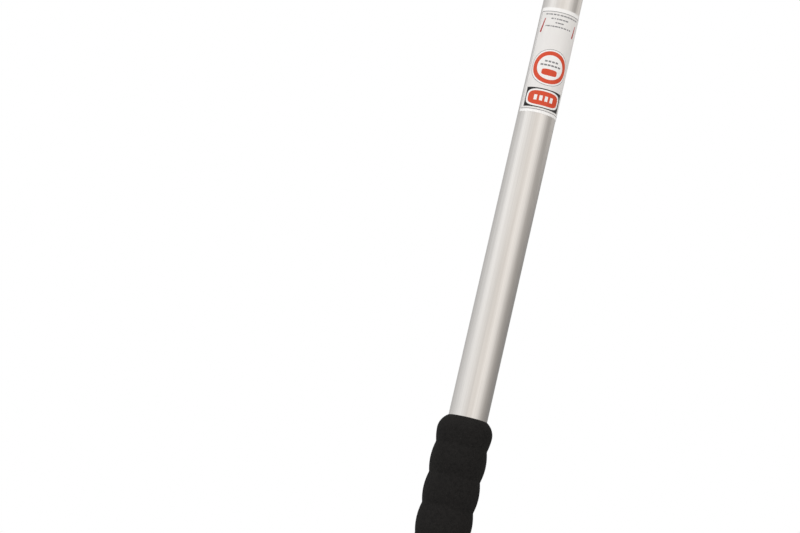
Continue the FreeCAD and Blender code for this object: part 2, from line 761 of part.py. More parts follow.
def limb_hook():
    """Steel hook beside the head, open towards the butt, for pulling cut branches down."""
    w = hook_plate_half_width
    bend = V(-hook_reach, 0, pivot_z - hook_bend_radius - hook_bend_below_pivot)
    outer = hook_bend_radius + hook_finger_width
    finger_in = bend + V(-hook_bend_radius - hook_finger_splay, 0, -hook_finger_drop)
    finger_out = finger_in + V(-hook_point_width, 0, -hook_point_drop)
    shoulder = pivot_z + hook_shoulder
    inner_corner = V(-w, 0, bend.z + hook_bend_radius)
    edges = [
        line(inner_corner, bend + V(0, 0, hook_bend_radius)),
        side_arc(bend, hook_bend_radius, 90, 180),
        line(bend + V(-hook_bend_radius, 0, 0), finger_in),
        line(finger_in, finger_out),
        line(finger_out, bend + V(-outer, 0, 0)),
        side_arc(bend, outer, 180, 90),
        line(bend + V(0, 0, outer), V(-w, 0, shoulder)),
        arc(V(-w, 0, shoulder), V(0, 0, pivot_z + w + hook_crown), V(w, 0, shoulder)),
        line(V(w, 0, shoulder), V(w, 0, hook_plate_foot)),
        line(V(w, 0, hook_plate_foot), V(-w, 0, hook_plate_foot)),
        line(V(-w, 0, hook_plate_foot), inner_corner),
    ]
    hook = plate(edges, tang_back, tang_back + hook_thickness)
    hook = hook.cut(cross_cylinder(head_bolt_radius + bolt_gap, 0, through, 0, pivot_z))
    return hook.cut(cross_cylinder(hook_rivet_radius + bolt_gap, 0, through, 0, rivet_z))


def hook_rivet():
    """Steel rivet through the tang and the hook."""
    back = tang_back + hook_thickness
    head_back = back + hook_rivet_head_height
    head = cross_cylinder(2 * hook_rivet_radius, back, head_back, 0, rivet_z)
    crown = [e for e in head.Edges if abs(e.CenterOfMass.y - head_back) < 1e-5]
    head = head.makeFillet(hook_rivet_head_round, crown)
    shank = cross_cylinder(hook_rivet_radius, tang_front, back, 0, rivet_z)
    return head.fuse(shank).removeSplitter()


def pivot_bolt():
    """Hexagon bolt that the blade swings on."""
    head_back = washer_front
    head = hexagon(head_nut_across_flats, head_bolt_head_height, V(0, head_back, pivot_z), -BACK)
    end = tang_back + hook_thickness + pivot_bolt_past_hook
    return head.fuse(cross_cylinder(head_bolt_radius, head_back, end, 0, pivot_z)).removeSplitter()


def head_washer(z):
    """Washer between the blade's face and what presses on it."""
    ring = cross_cylinder(head_washer_radius, washer_front, washer_front + head_washer_thickness, 0, z)
    return ring.cut(cross_cylinder(head_bolt_radius + pin_gap, -through, 0, 0, z))


def pivot_nut():
    """Self-locking nut behind the hook."""
    foot = tang_back + hook_thickness
    nut = hexagon(head_nut_across_flats, head_nut_height, V(0, foot, pivot_z), BACK)
    collar_r = head_nut_across_flats / 2 - head_nut_collar_inset
    collar_foot = foot + head_nut_height
    collar_back = collar_foot + head_nut_collar_height
    nut = nut.fuse(cross_cylinder(collar_r, collar_foot, collar_back, 0, pivot_z))
    hole = cross_cylinder(head_bolt_radius + pin_gap, 0, through, 0, pivot_z)
    return nut.cut(hole).removeSplitter()


def lock_bolt():
    """Carriage bolt from behind the tang, through the blade's slot, for the wing nut."""
    head_back = tang_back + lock_head_height
    head = cross_cylinder(lock_head_radius, tang_back, head_back, 0, lock_z)
    crown = [e for e in head.Edges if abs(e.CenterOfMass.y - head_back) < 1e-5]
    head = head.makeFillet(lock_head_round, crown)
    end = washer_front - wing_nut_hub_height - lock_bolt_spare
    return head.fuse(cross_cylinder(head_bolt_radius, end, tang_back, 0, lock_z)).removeSplitter()


def wing_nut():
    """Wing nut: a conical hub and two flat wings."""
    foot = V(0, washer_front, lock_z)
    top_r = wing_nut_hub_radius - wing_nut_hub_taper
    nut = Part.makeCone(wing_nut_hub_radius, top_r, wing_nut_hub_height, foot, -BACK)
    for side in (-1, 1):
        root = V(side * (head_bolt_radius + wing_root_out), 0, 0)
        flare = V(side * (wing_nut_hub_radius + wing_flare_out), 0, 0)
        outer = V(side * wing_span / 2, -wing_nut_hub_height - wing_rise, 0)
        edge_foot = outer + V(0, wing_edge_height, 0)
        crown_middle = outer - V(side * wing_crown_middle[0], wing_crown_middle[1], 0)
        crown = outer - V(side * wing_crown[0], wing_crown[1], 0)
        shoulder = V(root.x, -wing_nut_hub_height + wing_shoulder_drop, 0)
        edges = [
            line(root, flare),
            line(flare, edge_foot),
            arc(edge_foot, crown_middle, crown),
            line(crown, shoulder),
            line(shoulder, root),
        ]
        wing = Part.Face(Part.Wire(edges)).extrude(V(0, 0, wing_thickness))
        nut = nut.fuse(wing.translated(V(0, washer_front, lock_z - wing_thickness / 2)))
    hole = cross_cylinder(head_bolt_radius + pin_gap, -through, 0, 0, lock_z)
    return nut.cut(hole).removeSplitter()


# ---- Snap button that holds the head on the inner tube -----------------------------------------
button_flange_front = button_flange_clearance - math.sqrt(inner_bore_r**2 - button_flange_radius**2)
button_flange_back = button_flange_front + button_flange_height


def snap_button():
    """Steel button through the tube and the socket, with a flange that stays inside the tube."""
    face = -socket_r - button_stands_out
    pin = cross_cylinder(button_radius, face, button_flange_front, 0, button_z)
    crown = [e for e in pin.Edges if abs(e.CenterOfMass.y - face) < 1e-5]
    pin = pin.makeFillet(button_round, crown)
    flange = cross_cylinder(button_flange_radius, button_flange_front, button_flange_back, 0, button_z)
    return pin.fuse(flange).removeSplitter()


def button_spring():
    """Spring strip bent to a U inside the tube: one arm lies on the button, the other on the wall."""
    half_width = button_spring_width / 2
    front = button_flange_back
    back = math.sqrt(inner_bore_r**2 - half_width**2) - pin_gap
    inset = button_spring_thickness
    top = button_z + button_spring_above
    bend = button_z - button_spring_below
    centre = (front + back) / 2
    outer_bend = (back - front) / 2
    inner_bend = outer_bend - inset

    def at(y, z):
        return V(-half_width, y, z)

    edges = [
        line(at(front, top), at(front, bend)),
        arc(at(front, bend), at(centre, bend - outer_bend), at(back, bend)),
        line(at(back, bend), at(back, top)),
        line(at(back, top), at(back - inset, top)),
        line(at(back - inset, top), at(back - inset, bend)),
        arc(at(back - inset, bend), at(centre, bend - inner_bend), at(front + inset, bend)),
        line(at(front + inset, bend), at(front + inset, top)),
        line(at(front + inset, top), at(front, top)),
    ]
    return Part.Face(Part.Wire(edges)).extrude(V(button_spring_width, 0, 0))


# ---- Every piece, one STEP file each -----------------------------------------------------------
def pieces():
    made = {
        "butt_cap": butt_cap(),
        "foam_grip": foam_grip(),
        "outer_tube": outer_tube(),
        "pole_label": label(),
        "middle_tube": middle_tube(),
        "middle_tube_foot": sliding_foot(middle_foot, middle_r, middle_bore_r, outer_bore_r),
        "inner_tube": inner_tube(),
        "inner_tube_foot": sliding_foot(inner_foot, inner_r, inner_bore_r, middle_bore_r),
        "saw_head": saw_head(),
        "saw_blade": saw_blade(),
        "limb_hook": limb_hook(),
        "hook_rivet": hook_rivet(),
        "pivot_bolt": pivot_bolt(),
        "pivot_washer": head_washer(pivot_z),
        "pivot_nut": pivot_nut(),
        "lock_bolt": lock_bolt(),
        "lock_washer": head_washer(lock_z),
        "wing_nut": wing_nut(),
        "snap_button": snap_button(),
        "button_spring": button_spring(),
    }
    for name, clamp in (("lower", lower_clamp), ("upper", upper_clamp)):
        made[name + "_collar"] = collar(clamp)
        made[name + "_collar_screws"] = collar_screws(clamp)
        made[name + "_lever"] = cam_lever(clamp)
        made[name + "_cam_pin"] = cam_pin(clamp)
        made[name + "_cam_pad"] = cam_pad(clamp)
        made[name + "_draw_bolt"] = draw_bolt(clamp)
        made[name + "_tension_washer"] = tension_washer(clamp)
        made[name + "_tension_nut"] = tension_nut(clamp)
    return made


os.makedirs("parts", exist_ok=True)
for node, shape in pieces().items():
    if not shape.isValid() or not shape.Solids:
        raise ValueError(node + " isn't a valid solid")
    shape.exportStep("parts/" + node + ".step")
    print(f"{node}: {len(shape.Solids)} solid(s), {shape.Volume / 1000:.2f} cm3")
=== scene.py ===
import json
import math

import bpy
import numpy as np
from mathutils import Matrix, Vector


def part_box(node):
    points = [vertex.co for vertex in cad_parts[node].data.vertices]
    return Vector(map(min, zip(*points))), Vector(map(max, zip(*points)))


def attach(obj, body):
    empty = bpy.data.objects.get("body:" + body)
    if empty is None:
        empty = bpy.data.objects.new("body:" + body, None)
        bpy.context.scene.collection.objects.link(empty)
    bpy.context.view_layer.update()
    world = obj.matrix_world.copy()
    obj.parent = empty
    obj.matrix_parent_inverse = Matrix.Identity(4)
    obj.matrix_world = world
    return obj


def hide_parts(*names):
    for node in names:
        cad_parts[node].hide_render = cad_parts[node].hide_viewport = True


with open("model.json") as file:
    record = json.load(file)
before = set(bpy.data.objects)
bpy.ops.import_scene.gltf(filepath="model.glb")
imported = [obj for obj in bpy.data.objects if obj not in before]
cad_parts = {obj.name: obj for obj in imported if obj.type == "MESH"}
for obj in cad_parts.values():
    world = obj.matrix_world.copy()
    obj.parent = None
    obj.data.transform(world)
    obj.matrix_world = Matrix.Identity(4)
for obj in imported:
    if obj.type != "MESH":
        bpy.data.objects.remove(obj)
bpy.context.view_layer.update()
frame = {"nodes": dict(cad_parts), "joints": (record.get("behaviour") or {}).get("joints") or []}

# Telescoping pole saw. Metres; lengths named *_mm are millimetres. The pole's axis is +Z, its front
# is -Y, and angles round the pole count in degrees from the front towards +X.
MM = 0.001
nodes = frame["nodes"]
joints = {joint["name"]: joint for joint in frame["joints"]}
grip_low, grip_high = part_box("foam_grip")
label_low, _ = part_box("pole_label")
tube_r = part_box("outer_tube")[1].x
grip_top = grip_high.z


# ---- Camera, light and floor --------------------------------------------------------------------
camera_from_grip = Vector((-81.65, -1710.7, -163.7)) * MM
camera_pitch = math.radians(9.05)
camera_roll = math.radians(13.277)
camera_lens_mm = 95.42
camera_sensor_mm = 36.0
camera_near = 0.05

# Soft boxes: name, azimuth from the front in degrees, distance from the axis, height above the floor,
# the box's own width and height, watts and tint.
soft_boxes = (
    ("left_box", -62, 1.9, 0.9, 1.0, 1.0, 0.9, (1, 1, 1)),
    ("right_box", 27, 2.1, 0.7, 0.5, 1.2, 0.35, (1, 0.97, 0.94)),
    ("top_box", -20, 1.7, 5.2, 3.4, 3.4, 105, (1, 1, 1)),
    ("rear_box", 125, 1.9, 1.5, 1.8, 1.1, 3.5, (1, 0.96, 0.92)),
)
soft_box_aim_height = 0.7

# Azimuth from the front: how bright the room is there, and how warm.
room_levels = {
    -180: (0.42, 0.02), -150: (0.56, 0.01), -100: (0.76, 0.01), -62: (0.88, 0.01), -25: (0.86, 0.05),
    0: (0.86, 0.11), 12: (0.90, 0.08), 27: (1.06, 0.06), 50: (0.84, 0.06), 72: (0.46, 0.10),
    95: (0.32, 0.10), 130: (0.27, 0.05), 160: (0.30, 0.02), 180: (0.42, 0.02),
}

floor_radius = 11.0
floor_solid_radius = 2.5
floor_rings = 14
floor_sides = 64


def add_camera():
    """A camera in front of the grip, tilted up by the pitch and then rolled about its own view."""
    data = bpy.data.cameras.new("camera")
    data.lens = camera_lens_mm
    data.sensor_width = camera_sensor_mm
    data.clip_start = camera_near
    camera = bpy.data.objects.new("camera", data)
    bpy.context.scene.collection.objects.link(camera)
    place = Matrix.Translation(Vector((0, 0, grip_top)) + camera_from_grip)
    tilt = Matrix.Rotation(math.pi / 2 + camera_pitch, 4, "X")
    roll = Matrix.Rotation(camera_roll, 4, "Z")
    camera.matrix_world = place @ tilt @ roll
    bpy.context.scene.camera = camera


def add_area_light(name, azimuth, distance, height, width, tall, watts, tint):
    """A soft box that stands at an azimuth from the front and faces the pole's axis."""
    data = bpy.data.lights.new(name, "AREA")
    data.shape = "RECTANGLE"
    data.size = width
    data.size_y = tall
    data.energy = watts
    data.color = tint
    light = bpy.data.objects.new(name, data)
    light.visible_camera = False
    bpy.context.scene.collection.objects.link(light)
    a = math.radians(azimuth)
    light.location = (distance * math.sin(a), -distance * math.cos(a), height)
    aim = Vector((0, 0, min(height, soft_box_aim_height))) - light.location
    light.rotation_euler = aim.to_track_quat("-Z", "Y").to_euler()


def add_node(tree, kind, operation=None, **inputs):
    """A new shader node with some sockets set; an underscore in a socket's name stands for a space."""
    made = tree.nodes.new(kind)
    if operation:
        made.operation = operation
    for socket, value in inputs.items():
        made.inputs[socket.replace("_", " ")].default_value = value
    return made


def add_world():
    """White to the eye; as light, a grey room whose level changes with the azimuth from the front,
    the arc tangent of X over -Y: paler on the left than on the right."""
    world = bpy.data.worlds.new("studio")
    bpy.context.scene.world = world
    world.use_nodes = True
    tree = world.node_tree
    tree.nodes.clear()
    where = add_node(tree, "ShaderNodeTexCoord")
    split = add_node(tree, "ShaderNodeSeparateXYZ")
    flip = add_node(tree, "ShaderNodeMath", "MULTIPLY")
    flip.inputs[1].default_value = -1.0
    azimuth = add_node(tree, "ShaderNodeMath", "ARCTAN2")
    share = add_node(tree, "ShaderNodeMapRange", From_Min=-math.pi, From_Max=math.pi)
    levels = add_node(tree, "ShaderNodeValToRGB")
    ramp = levels.color_ramp
    ramp.interpolation = "EASE"
    while len(ramp.elements) < len(room_levels):
        ramp.elements.new(0.5)
    for element, (angle, (level, warmth)) in zip(ramp.elements, sorted(room_levels.items())):
        element.position = (angle + 180) / 360
        element.color = (level, level * (1 - warmth / 2), level * (1 - warmth), 1)
    room = add_node(tree, "ShaderNodeBackground")
    seen = add_node(tree, "ShaderNodeBackground", Color=(1, 1, 1, 1))
    path = add_node(tree, "ShaderNodeLightPath")
    mix = add_node(tree, "ShaderNodeMixShader")
    out = add_node(tree, "ShaderNodeOutputWorld")
    link = tree.links.new
    link(where.outputs["Generated"], split.inputs[0])
    link(split.outputs["Y"], flip.inputs[0])
    link(split.outputs["X"], azimuth.inputs[0])
    link(flip.outputs[0], azimuth.inputs[1])
    link(azimuth.outputs[0], share.inputs["Value"])
    link(share.outputs["Result"], levels.inputs["Fac"])
    link(levels.outputs["Color"], room.inputs["Color"])
    link(path.outputs["Is Camera Ray"], mix.inputs["Fac"])
    link(room.outputs[0], mix.inputs[1])
    link(seen.outputs[0], mix.inputs[2])
    link(mix.outputs[0], out.inputs["Surface"])


def add_floor():
    """A pale round floor that meets the butt cap's flat end; glossy reflections leave it out."""
    rings = np.linspace(0.0, floor_radius, floor_rings + 1)[1:]
    turns = np.linspace(0, 2 * math.pi, floor_sides, endpoint=False)
    r, a = np.meshgrid(rings, turns, indexing="ij")
    points = np.stack([r * np.cos(a), r * np.sin(a), np.zeros_like(r)], -1).reshape(-1, 3)
    verts = np.vstack([[[0.0, 0.0, 0.0]], points])
    quads = (grid_faces(floor_rings, floor_sides, wrap_v=True) + 1).tolist()
    hub = [[0, 1 + k, 1 + (k + 1) % floor_sides] for k in range(floor_sides)]
    mesh = bpy.data.meshes.new("floor")
    mesh.from_pydata(verts.tolist(), [], quads + hub)
    mesh.materials.append(floor_paint())
    floor = bpy.data.objects.new("floor", mesh)
    floor.visible_glossy = False
    bpy.context.scene.collection.objects.link(floor)


# ---- Surfaces -----------------------------------------------------------------------------------
def grid_faces(nu, nv, wrap_u=False, wrap_v=False):
    """Quads between the points of an nu by nv grid; a wrapped side joins its last row to its first."""
    i = np.arange(nu if wrap_u else nu - 1)
    j = np.arange(nv if wrap_v else nv - 1)
    i, j = np.meshgrid(i, j, indexing="ij")
    i2, j2 = (i + 1) % nu, (j + 1) % nv
    corners = [i * nv + j, i2 * nv + j, i2 * nv + j2, i * nv + j2]
    return np.stack(corners, -1).reshape(-1, 4)


def signed_volume(verts, faces):
    """The volume inside the faces, positive if they face outwards: a sixth of the sum, over the
    faces' triangles, of one corner dotted with the cross product of the other two."""
    total = 0.0
    for k in range(2, faces.shape[1]):
        a, b, c = verts[faces[:, 0]], verts[faces[:, k - 1]], verts[faces[:, k]]
        total += np.einsum("ij,ij->i", a, np.cross(b, c)).sum() / 6
    return total


def closed_sheet(outer, inner):
    """A thin closed shell: an outer grid, an inner grid of the same size, and walls round the rim."""
    nu, nv = outer.shape[:2]
    count = nu * nv
    verts = np.vstack([outer.reshape(-1, 3), inner.reshape(-1, 3)])
    faces = grid_faces(nu, nv)
    index = np.arange(count).reshape(nu, nv)
    rim = np.concatenate([index[:, 0], index[-1, 1:], index[-2::-1, -1], index[0, -2:0:-1]])
    after = np.roll(rim, -1)
    walls = np.stack([rim, rim + count, after + count, after], -1)
    shell = np.vstack([faces, faces[:, ::-1] + count, walls])
    return facing_out(verts, shell)


def facing_out(verts, faces):
    """The same part with its faces turned outwards."""
    if signed_volume(verts, faces) < 0:
        faces = faces[:, ::-1]
    return verts, faces


def closed_loop(points):
    """A ring whose section is a closed outline: both ways round the grid wrap."""
    nu, nv = points.shape[:2]
    return facing_out(points.reshape(-1, 3), grid_faces(nu, nv, True, True))


end_disc_share = 0.02


def capped_rings(rings):
    """Rings of points along an axis. At each end the last ring shrinks to a small flat disc, which
    strips of quads across it close."""
    nu, nv = rings.shape[:2]
    first = rings[:1].mean(axis=1, keepdims=True).repeat(nv, axis=1)
    last = rings[-1:].mean(axis=1, keepdims=True).repeat(nv, axis=1)
    start = first + (rings[:1] - first) * end_disc_share
    end = last + (rings[-1:] - last) * end_disc_share
    verts = np.concatenate([start, rings, end]).reshape(-1, 3)
    k = np.arange(nv // 2 - 1)
    strips = np.stack([k, k + 1, nv - 2 - k, nv - 1 - k], -1)
    faces = [grid_faces(nu + 2, nv, wrap_v=True), strips[:, ::-1], strips + (nu + 1) * nv]
    return facing_out(verts, np.vstack(faces))


def join_parts(parts):
    """Several closed parts as one list of points and one list of faces."""
    verts, faces, offset = [], [], 0
    for part_verts, part_faces in parts:
        verts.append(part_verts)
        faces.append(part_faces + offset)
        offset += len(part_verts)
    return np.vstack(verts), np.vstack(faces)


def add_piece(name, part, material, body, sharp_deg=40.0):
    """Puts a finished part into the scene on its body, with its material."""
    verts, faces = part
    mesh = bpy.data.meshes.new(name)
    mesh.vertices.add(len(verts))
    mesh.vertices.foreach_set("co", np.asarray(verts, np.float32).ravel())
    mesh.loops.add(faces.size)
    mesh.loops.foreach_set("vertex_index", faces.astype(np.int32).ravel())
    mesh.polygons.add(len(faces))
    mesh.polygons.foreach_set("loop_start", np.arange(len(faces), dtype=np.int32) * faces.shape[1])
    mesh.update(calc_edges=True)
    mesh.validate()
    mesh.shade_smooth()
    mesh.set_sharp_from_angle(angle=math.radians(sharp_deg))
    mesh.materials.append(material)
    piece = bpy.data.objects.new(name, mesh)
    bpy.context.scene.collection.objects.link(piece)
    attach(piece, body)
    return piece


def round_pole(angle_deg, radius, height):
    """Points at an angle from the front, a radius from the pole's axis and a height: X is the radius
    times the sine of the angle, and Y is minus the radius times its cosine."""
    a = np.radians(angle_deg)
    points = [radius * np.sin(a), -radius * np.cos(a), height + 0 * a]
    return np.stack(np.broadcast_arrays(*points), -1)


# ---- Node groups that several finishes share ----------------------------------------------------
FLOAT, VECTOR = "NodeSocketFloat", "NodeSocketVector"


def new_group(name, inputs, outputs):
    """An empty node group with named inputs, each with its first value, and named outputs."""
    group = bpy.data.node_groups.new(name, "ShaderNodeTree")
    for label, (kind, value) in inputs.items():
        socket = group.interface.new_socket(label, in_out="INPUT", socket_type=kind)
        socket.default_value = value
    for label, kind in outputs.items():
        group.interface.new_socket(label, in_out="OUTPUT", socket_type=kind)
    start = add_node(group, "NodeGroupInput")
    end = add_node(group, "NodeGroupOutput")
    return group, start, end


def grain_group():
    """Noise on object coordinates that Stretch can draw out along an axis, spread over 0 to 1."""
    group, start, end = new_group(
        "grain",
        {"Scale": (FLOAT, 500.0), "Detail": (FLOAT, 3.0), "Stretch": (VECTOR, (1, 1, 1))},
        {"Value": FLOAT},
    )
    where = add_node(group, "ShaderNodeTexCoord")
    stretch = add_node(group, "ShaderNodeVectorMath", "MULTIPLY")
    noise = add_node(group, "ShaderNodeTexNoise")
    spread = add_node(group, "ShaderNodeMapRange", From_Min=0.3, From_Max=0.7)
    link = group.links.new
    link(where.outputs["Object"], stretch.inputs[0])
    link(start.outputs["Stretch"], stretch.inputs[1])
    link(stretch.outputs[0], noise.inputs["Vector"])
    link(start.outputs["Scale"], noise.inputs["Scale"])
    link(start.outputs["Detail"], noise.inputs["Detail"])
    link(noise.outputs[0], spread.inputs["Value"])
    link(spread.outputs["Result"], end.inputs["Value"])
    return group


def wear_group():
    """Where an edge is rounder than its face, broken up by noise: the worn places, from 0 to 1."""
    group, start, end = new_group(
        "edge wear",
        {"Radius": (FLOAT, 0.0006), "Breakup": (FLOAT, 300.0), "Amount": (FLOAT, 0.6)},
        {"Mask": FLOAT},
    )
    bevel = add_node(group, "ShaderNodeBevel")
    bevel.samples = 4
    true = add_node(group, "ShaderNodeNewGeometry")
    dot = add_node(group, "ShaderNodeVectorMath", "DOT_PRODUCT")
    edge = add_node(group, "ShaderNodeMapRange", From_Min=0.985, From_Max=0.80)
    where = add_node(group, "ShaderNodeTexCoord")
    noise = add_node(group, "ShaderNodeTexNoise", Detail=4.0)
    patch = add_node(group, "ShaderNodeMapRange", From_Min=0.42, From_Max=0.60)
    both = add_node(group, "ShaderNodeMath", "MULTIPLY")
    amount = add_node(group, "ShaderNodeMath", "MULTIPLY")
    amount.use_clamp = True
    link = group.links.new
    link(start.outputs["Radius"], bevel.inputs["Radius"])
    link(bevel.outputs["Normal"], dot.inputs[0])
    link(true.outputs["Normal"], dot.inputs[1])
    link(dot.outputs["Value"], edge.inputs["Value"])
    link(where.outputs["Object"], noise.inputs["Vector"])
    link(start.outputs["Breakup"], noise.inputs["Scale"])
    link(noise.outputs[0], patch.inputs["Value"])
    link(edge.outputs["Result"], both.inputs[0])
    link(patch.outputs["Result"], both.inputs[1])
    link(both.outputs[0], amount.inputs[0])
    link(start.outputs["Amount"], amount.inputs[1])
    link(amount.outputs[0], end.inputs["Mask"])
    return group


def scratch_group():
    """Thin marks: the narrow middle band of a drawn-out noise, thinned by a broader noise."""
    group, start, end = new_group(
        "scratches",
        {"Scale": (FLOAT, 120.0), "Stretch": (VECTOR, (1, 1, 0.1)), "Amount": (FLOAT, 0.5)},
        {"Mask": FLOAT},
    )
    where = add_node(group, "ShaderNodeTexCoord")
    stretch = add_node(group, "ShaderNodeVectorMath", "MULTIPLY")
    lines = add_node(group, "ShaderNodeTexNoise", Detail=2.0)
    centre = add_node(group, "ShaderNodeMath", "SUBTRACT")
    centre.inputs[1].default_value = 0.5
    size = add_node(group, "ShaderNodeMath", "ABSOLUTE")
    thin = add_node(group, "ShaderNodeMapRange", From_Min=0.006, From_Max=0.0)
    broad = add_node(group, "ShaderNodeTexNoise", Scale=28.0)
    some = add_node(group, "ShaderNodeMapRange", From_Min=0.50, From_Max=0.62)
    both = add_node(group, "ShaderNodeMath", "MULTIPLY")
    amount = add_node(group, "ShaderNodeMath", "MULTIPLY")
    amount.use_clamp = True
    link = group.links.new
    link(where.outputs["Object"], stretch.inputs[0])
    link(start.outputs["Stretch"], stretch.inputs[1])
    link(stretch.outputs[0], lines.inputs["Vector"])
    link(start.outputs["Scale"], lines.inputs["Scale"])
    link(lines.outputs[0], centre.inputs[0])
    link(centre.outputs[0], size.inputs[0])
    link(size.outputs[0], thin.inputs["Value"])
    link(where.outputs["Object"], broad.inputs["Vector"])
    link(broad.outputs[0], some.inputs["Value"])
    link(thin.outputs["Result"], both.inputs[0])
    link(some.outputs["Result"], both.inputs[1])
    link(both.outputs[0], amount.inputs[0])
    link(start.outputs["Amount"], amount.inputs[1])
    link(amount.outputs[0], end.inputs["Mask"])
    return group


GRAIN = grain_group()
WEAR = wear_group()
SCRATCHES = scratch_group()


class Finish:
    """A material being built: a surface shader, and short ways to add nodes in front of it."""

    def __init__(self, name, **uniform):
        self.material = bpy.data.materials.new(name)
        self.material.use_nodes = True
        self.tree = self.material.node_tree
        self.shader = self.tree.nodes["Principled BSDF"]
        for socket, value in uniform.items():
            self.shader.inputs[socket.replace("_", " ")].default_value = value

    def link(self, source, target):
        """Feeds a node's output to another node's input."""
        self.tree.links.new(source, target)

    def group(self, tree, output, **inputs):
        """An output of a shared node group that is given its own values."""
        made = self.tree.nodes.new("ShaderNodeGroup")
        made.node_tree = tree
        for socket, value in inputs.items():
            made.inputs[socket].default_value = value
        return made.outputs[output]

    def grain(self, scale, detail=3.0, stretch=(1, 1, 1)):
        """Noise from 0 to 1 on object coordinates."""
        return self.group(GRAIN, "Value", Scale=scale, Detail=detail, Stretch=stretch)

    def spread(self, value, low, high, start=0.0, end=1.0):
        """A value whose start becomes low and whose end becomes high, and evenly in between."""
        made = add_node(
            self.tree, "ShaderNodeMapRange", From_Min=start, From_Max=end, To_Min=low, To_Max=high
        )
        self.link(value, made.inputs["Value"])
        return made.outputs["Result"]

    def math(self, operation, a, b):
        """The first value and the second, which may be a number, put together."""
        made = add_node(self.tree, "ShaderNodeMath", operation)
        self.link(a, made.inputs[0])
        if isinstance(b, float):
            made.inputs[1].default_value = b
        else:
            self.link(b, made.inputs[1])
        return made.outputs[0]

    def mix(self, mask, over):
        """Makes the base colour a mix whose second colour shows as far as the mask says."""
        made = add_node(self.tree, "ShaderNodeMix")
        made.data_type = "RGBA"
        made.inputs["B"].default_value = (*over, 1)
        self.link(mask, made.inputs["Factor"])
        self.colour = made.outputs["Result"]
        self.link(self.colour, self.shader.inputs["Base Color"])
        return made

    def ground(self, mask, first, second):
        """Starts the colour: the first where the mask is 0, the second where it is 1."""
        self.mix(mask, second).inputs["A"].default_value = (*first, 1)

    def paint(self, colour, mask):
        """Lays a colour over what is there, as far as the mask says."""
        under = self.colour
        self.link(under, self.mix(mask, colour).inputs["A"])

    def roughness(self, value):
        """Takes the roughness from a value."""
        self.link(value, self.shader.inputs["Roughness"])

    def bump(self, height, depth_mm, strength):
        """Height from 0 to 1 becomes a relief of that depth; calls build on each other."""
        made = add_node(self.tree, "ShaderNodeBump", Strength=strength, Distance=depth_mm * MM)
        self.link(height, made.inputs["Height"])
        old = self.shader.inputs["Normal"].links
        if old:
            self.link(old[0].from_socket, made.inputs["Normal"])
        self.link(made.outputs["Normal"], self.shader.inputs["Normal"])


# ---- Finishes -----------------------------------------------------------------------------------
def floor_paint():
    """Matt white that thins out towards the floor's rim, so that it has no horizon."""
    f = Finish("studio_floor", Roughness=0.8, Specular_IOR_Level=0.2)
    f.ground(f.grain(3.0), (0.88, 0.88, 0.875), (0.90, 0.90, 0.895))
    where = add_node(f.tree, "ShaderNodeTexCoord")
    reach = add_node(f.tree, "ShaderNodeVectorMath", "LENGTH")
    f.link(where.outputs["Object"], reach.inputs[0])
    fade = f.spread(reach.outputs["Value"], 1.0, 0.0, floor_solid_radius, floor_radius)
    f.link(fade, f.shader.inputs["Alpha"])
    return f.material


def drawn_aluminium(name, tone=1.0):
    """Satin anodised tube: faint lines along its length, cloudy patches and a few light rubs."""
    f = Finish(name, Metallic=1.0, Anisotropic=0.25)
    lines = f.grain(1500.0, 2.0, (1, 1, 0.004))
    cloud = f.grain(22.0, 3.0, (1, 1, 0.35))
    speck = f.grain(2600.0, 2.0)
    pale = tuple(tone * c for c in (0.85, 0.83, 0.805))
    deep = tuple(tone * c for c in (0.80, 0.78, 0.755))
    f.ground(cloud, deep, pale)
    streak = f.spread(lines, 0.0, 0.5, 0.1, 1.0)
    f.paint(tuple(tone * c for c in (0.66, 0.64, 0.615)), streak)
    rubs = f.group(SCRATCHES, "Mask", Scale=160.0, Stretch=(1, 1, 0.015), Amount=0.4)
    f.paint((0.86, 0.85, 0.83), rubs)
    rough = f.math("ADD", f.spread(speck, 0.29, 0.36), f.spread(cloud, 0.0, 0.05))
    f.roughness(f.math("SUBTRACT", rough, f.math("MULTIPLY", rubs, 0.12)))
    f.bump(lines, 0.008, 0.6)
    f.bump(speck, 0.004, 0.4)
    return f.material


def grip_foam():
    """Closed-cell foam: near-black, matt, with fine pores and soft lumps; the raised walls between the
    pores are paler as a painted grey sheen, and the lumps' hollows darker as painted shade.
    """
    f = Finish("grip_foam", Specular_IOR_Level=0.08)
    cells = add_node(f.tree, "ShaderNodeTexVoronoi", Scale=2100.0)
    where = add_node(f.tree, "ShaderNodeTexCoord")
    f.link(where.outputs["Object"], cells.inputs["Vector"])
    pore = f.spread(cells.outputs["Distance"], 0.0, 1.0, 0.05, 0.55)
    lumps = f.grain(420.0, 4.0)
    cloud = f.grain(38.0, 3.0)
    f.ground(cloud, (0.0092, 0.0086, 0.0082), (0.0135, 0.0128, 0.0122))
    # Painted sheen: paler as far as the pore relief stands high, on the walls between the pores.
    f.paint((0.026, 0.025, 0.0245), f.spread(pore, 0.0, 0.42, 0.1, 1.0))
    # Painted shade: darker in the hollows between the lumps, where the same relief is low.
    f.paint((0.005, 0.005, 0.005), f.spread(lumps, 0.5, 0.0, 0.0, 0.7))
    f.roughness(f.spread(lumps, 0.80, 0.95))
    f.bump(lumps, 0.16, 0.9)
    f.bump(pore, 0.10, 0.9)
    return f.material


def label_film():
    """Glossy white vinyl with a faint warm cloud and orange-peel ripple."""
    f = Finish("label_film", Coat_Weight=0.35, Coat_Roughness=0.12)
    cloud = f.grain(60.0, 2.0)
    f.ground(cloud, (0.91, 0.905, 0.90), (0.95, 0.948, 0.945))
    rubs = f.group(SCRATCHES, "Mask", Scale=220.0, Stretch=(1, 0.4, 0.5), Amount=0.25)
    f.paint((0.72, 0.71, 0.70), rubs)
    f.roughness(f.spread(f.grain(900.0), 0.30, 0.40))
    f.bump(f.grain(420.0, 2.0), 0.006, 0.5)
    return f.material


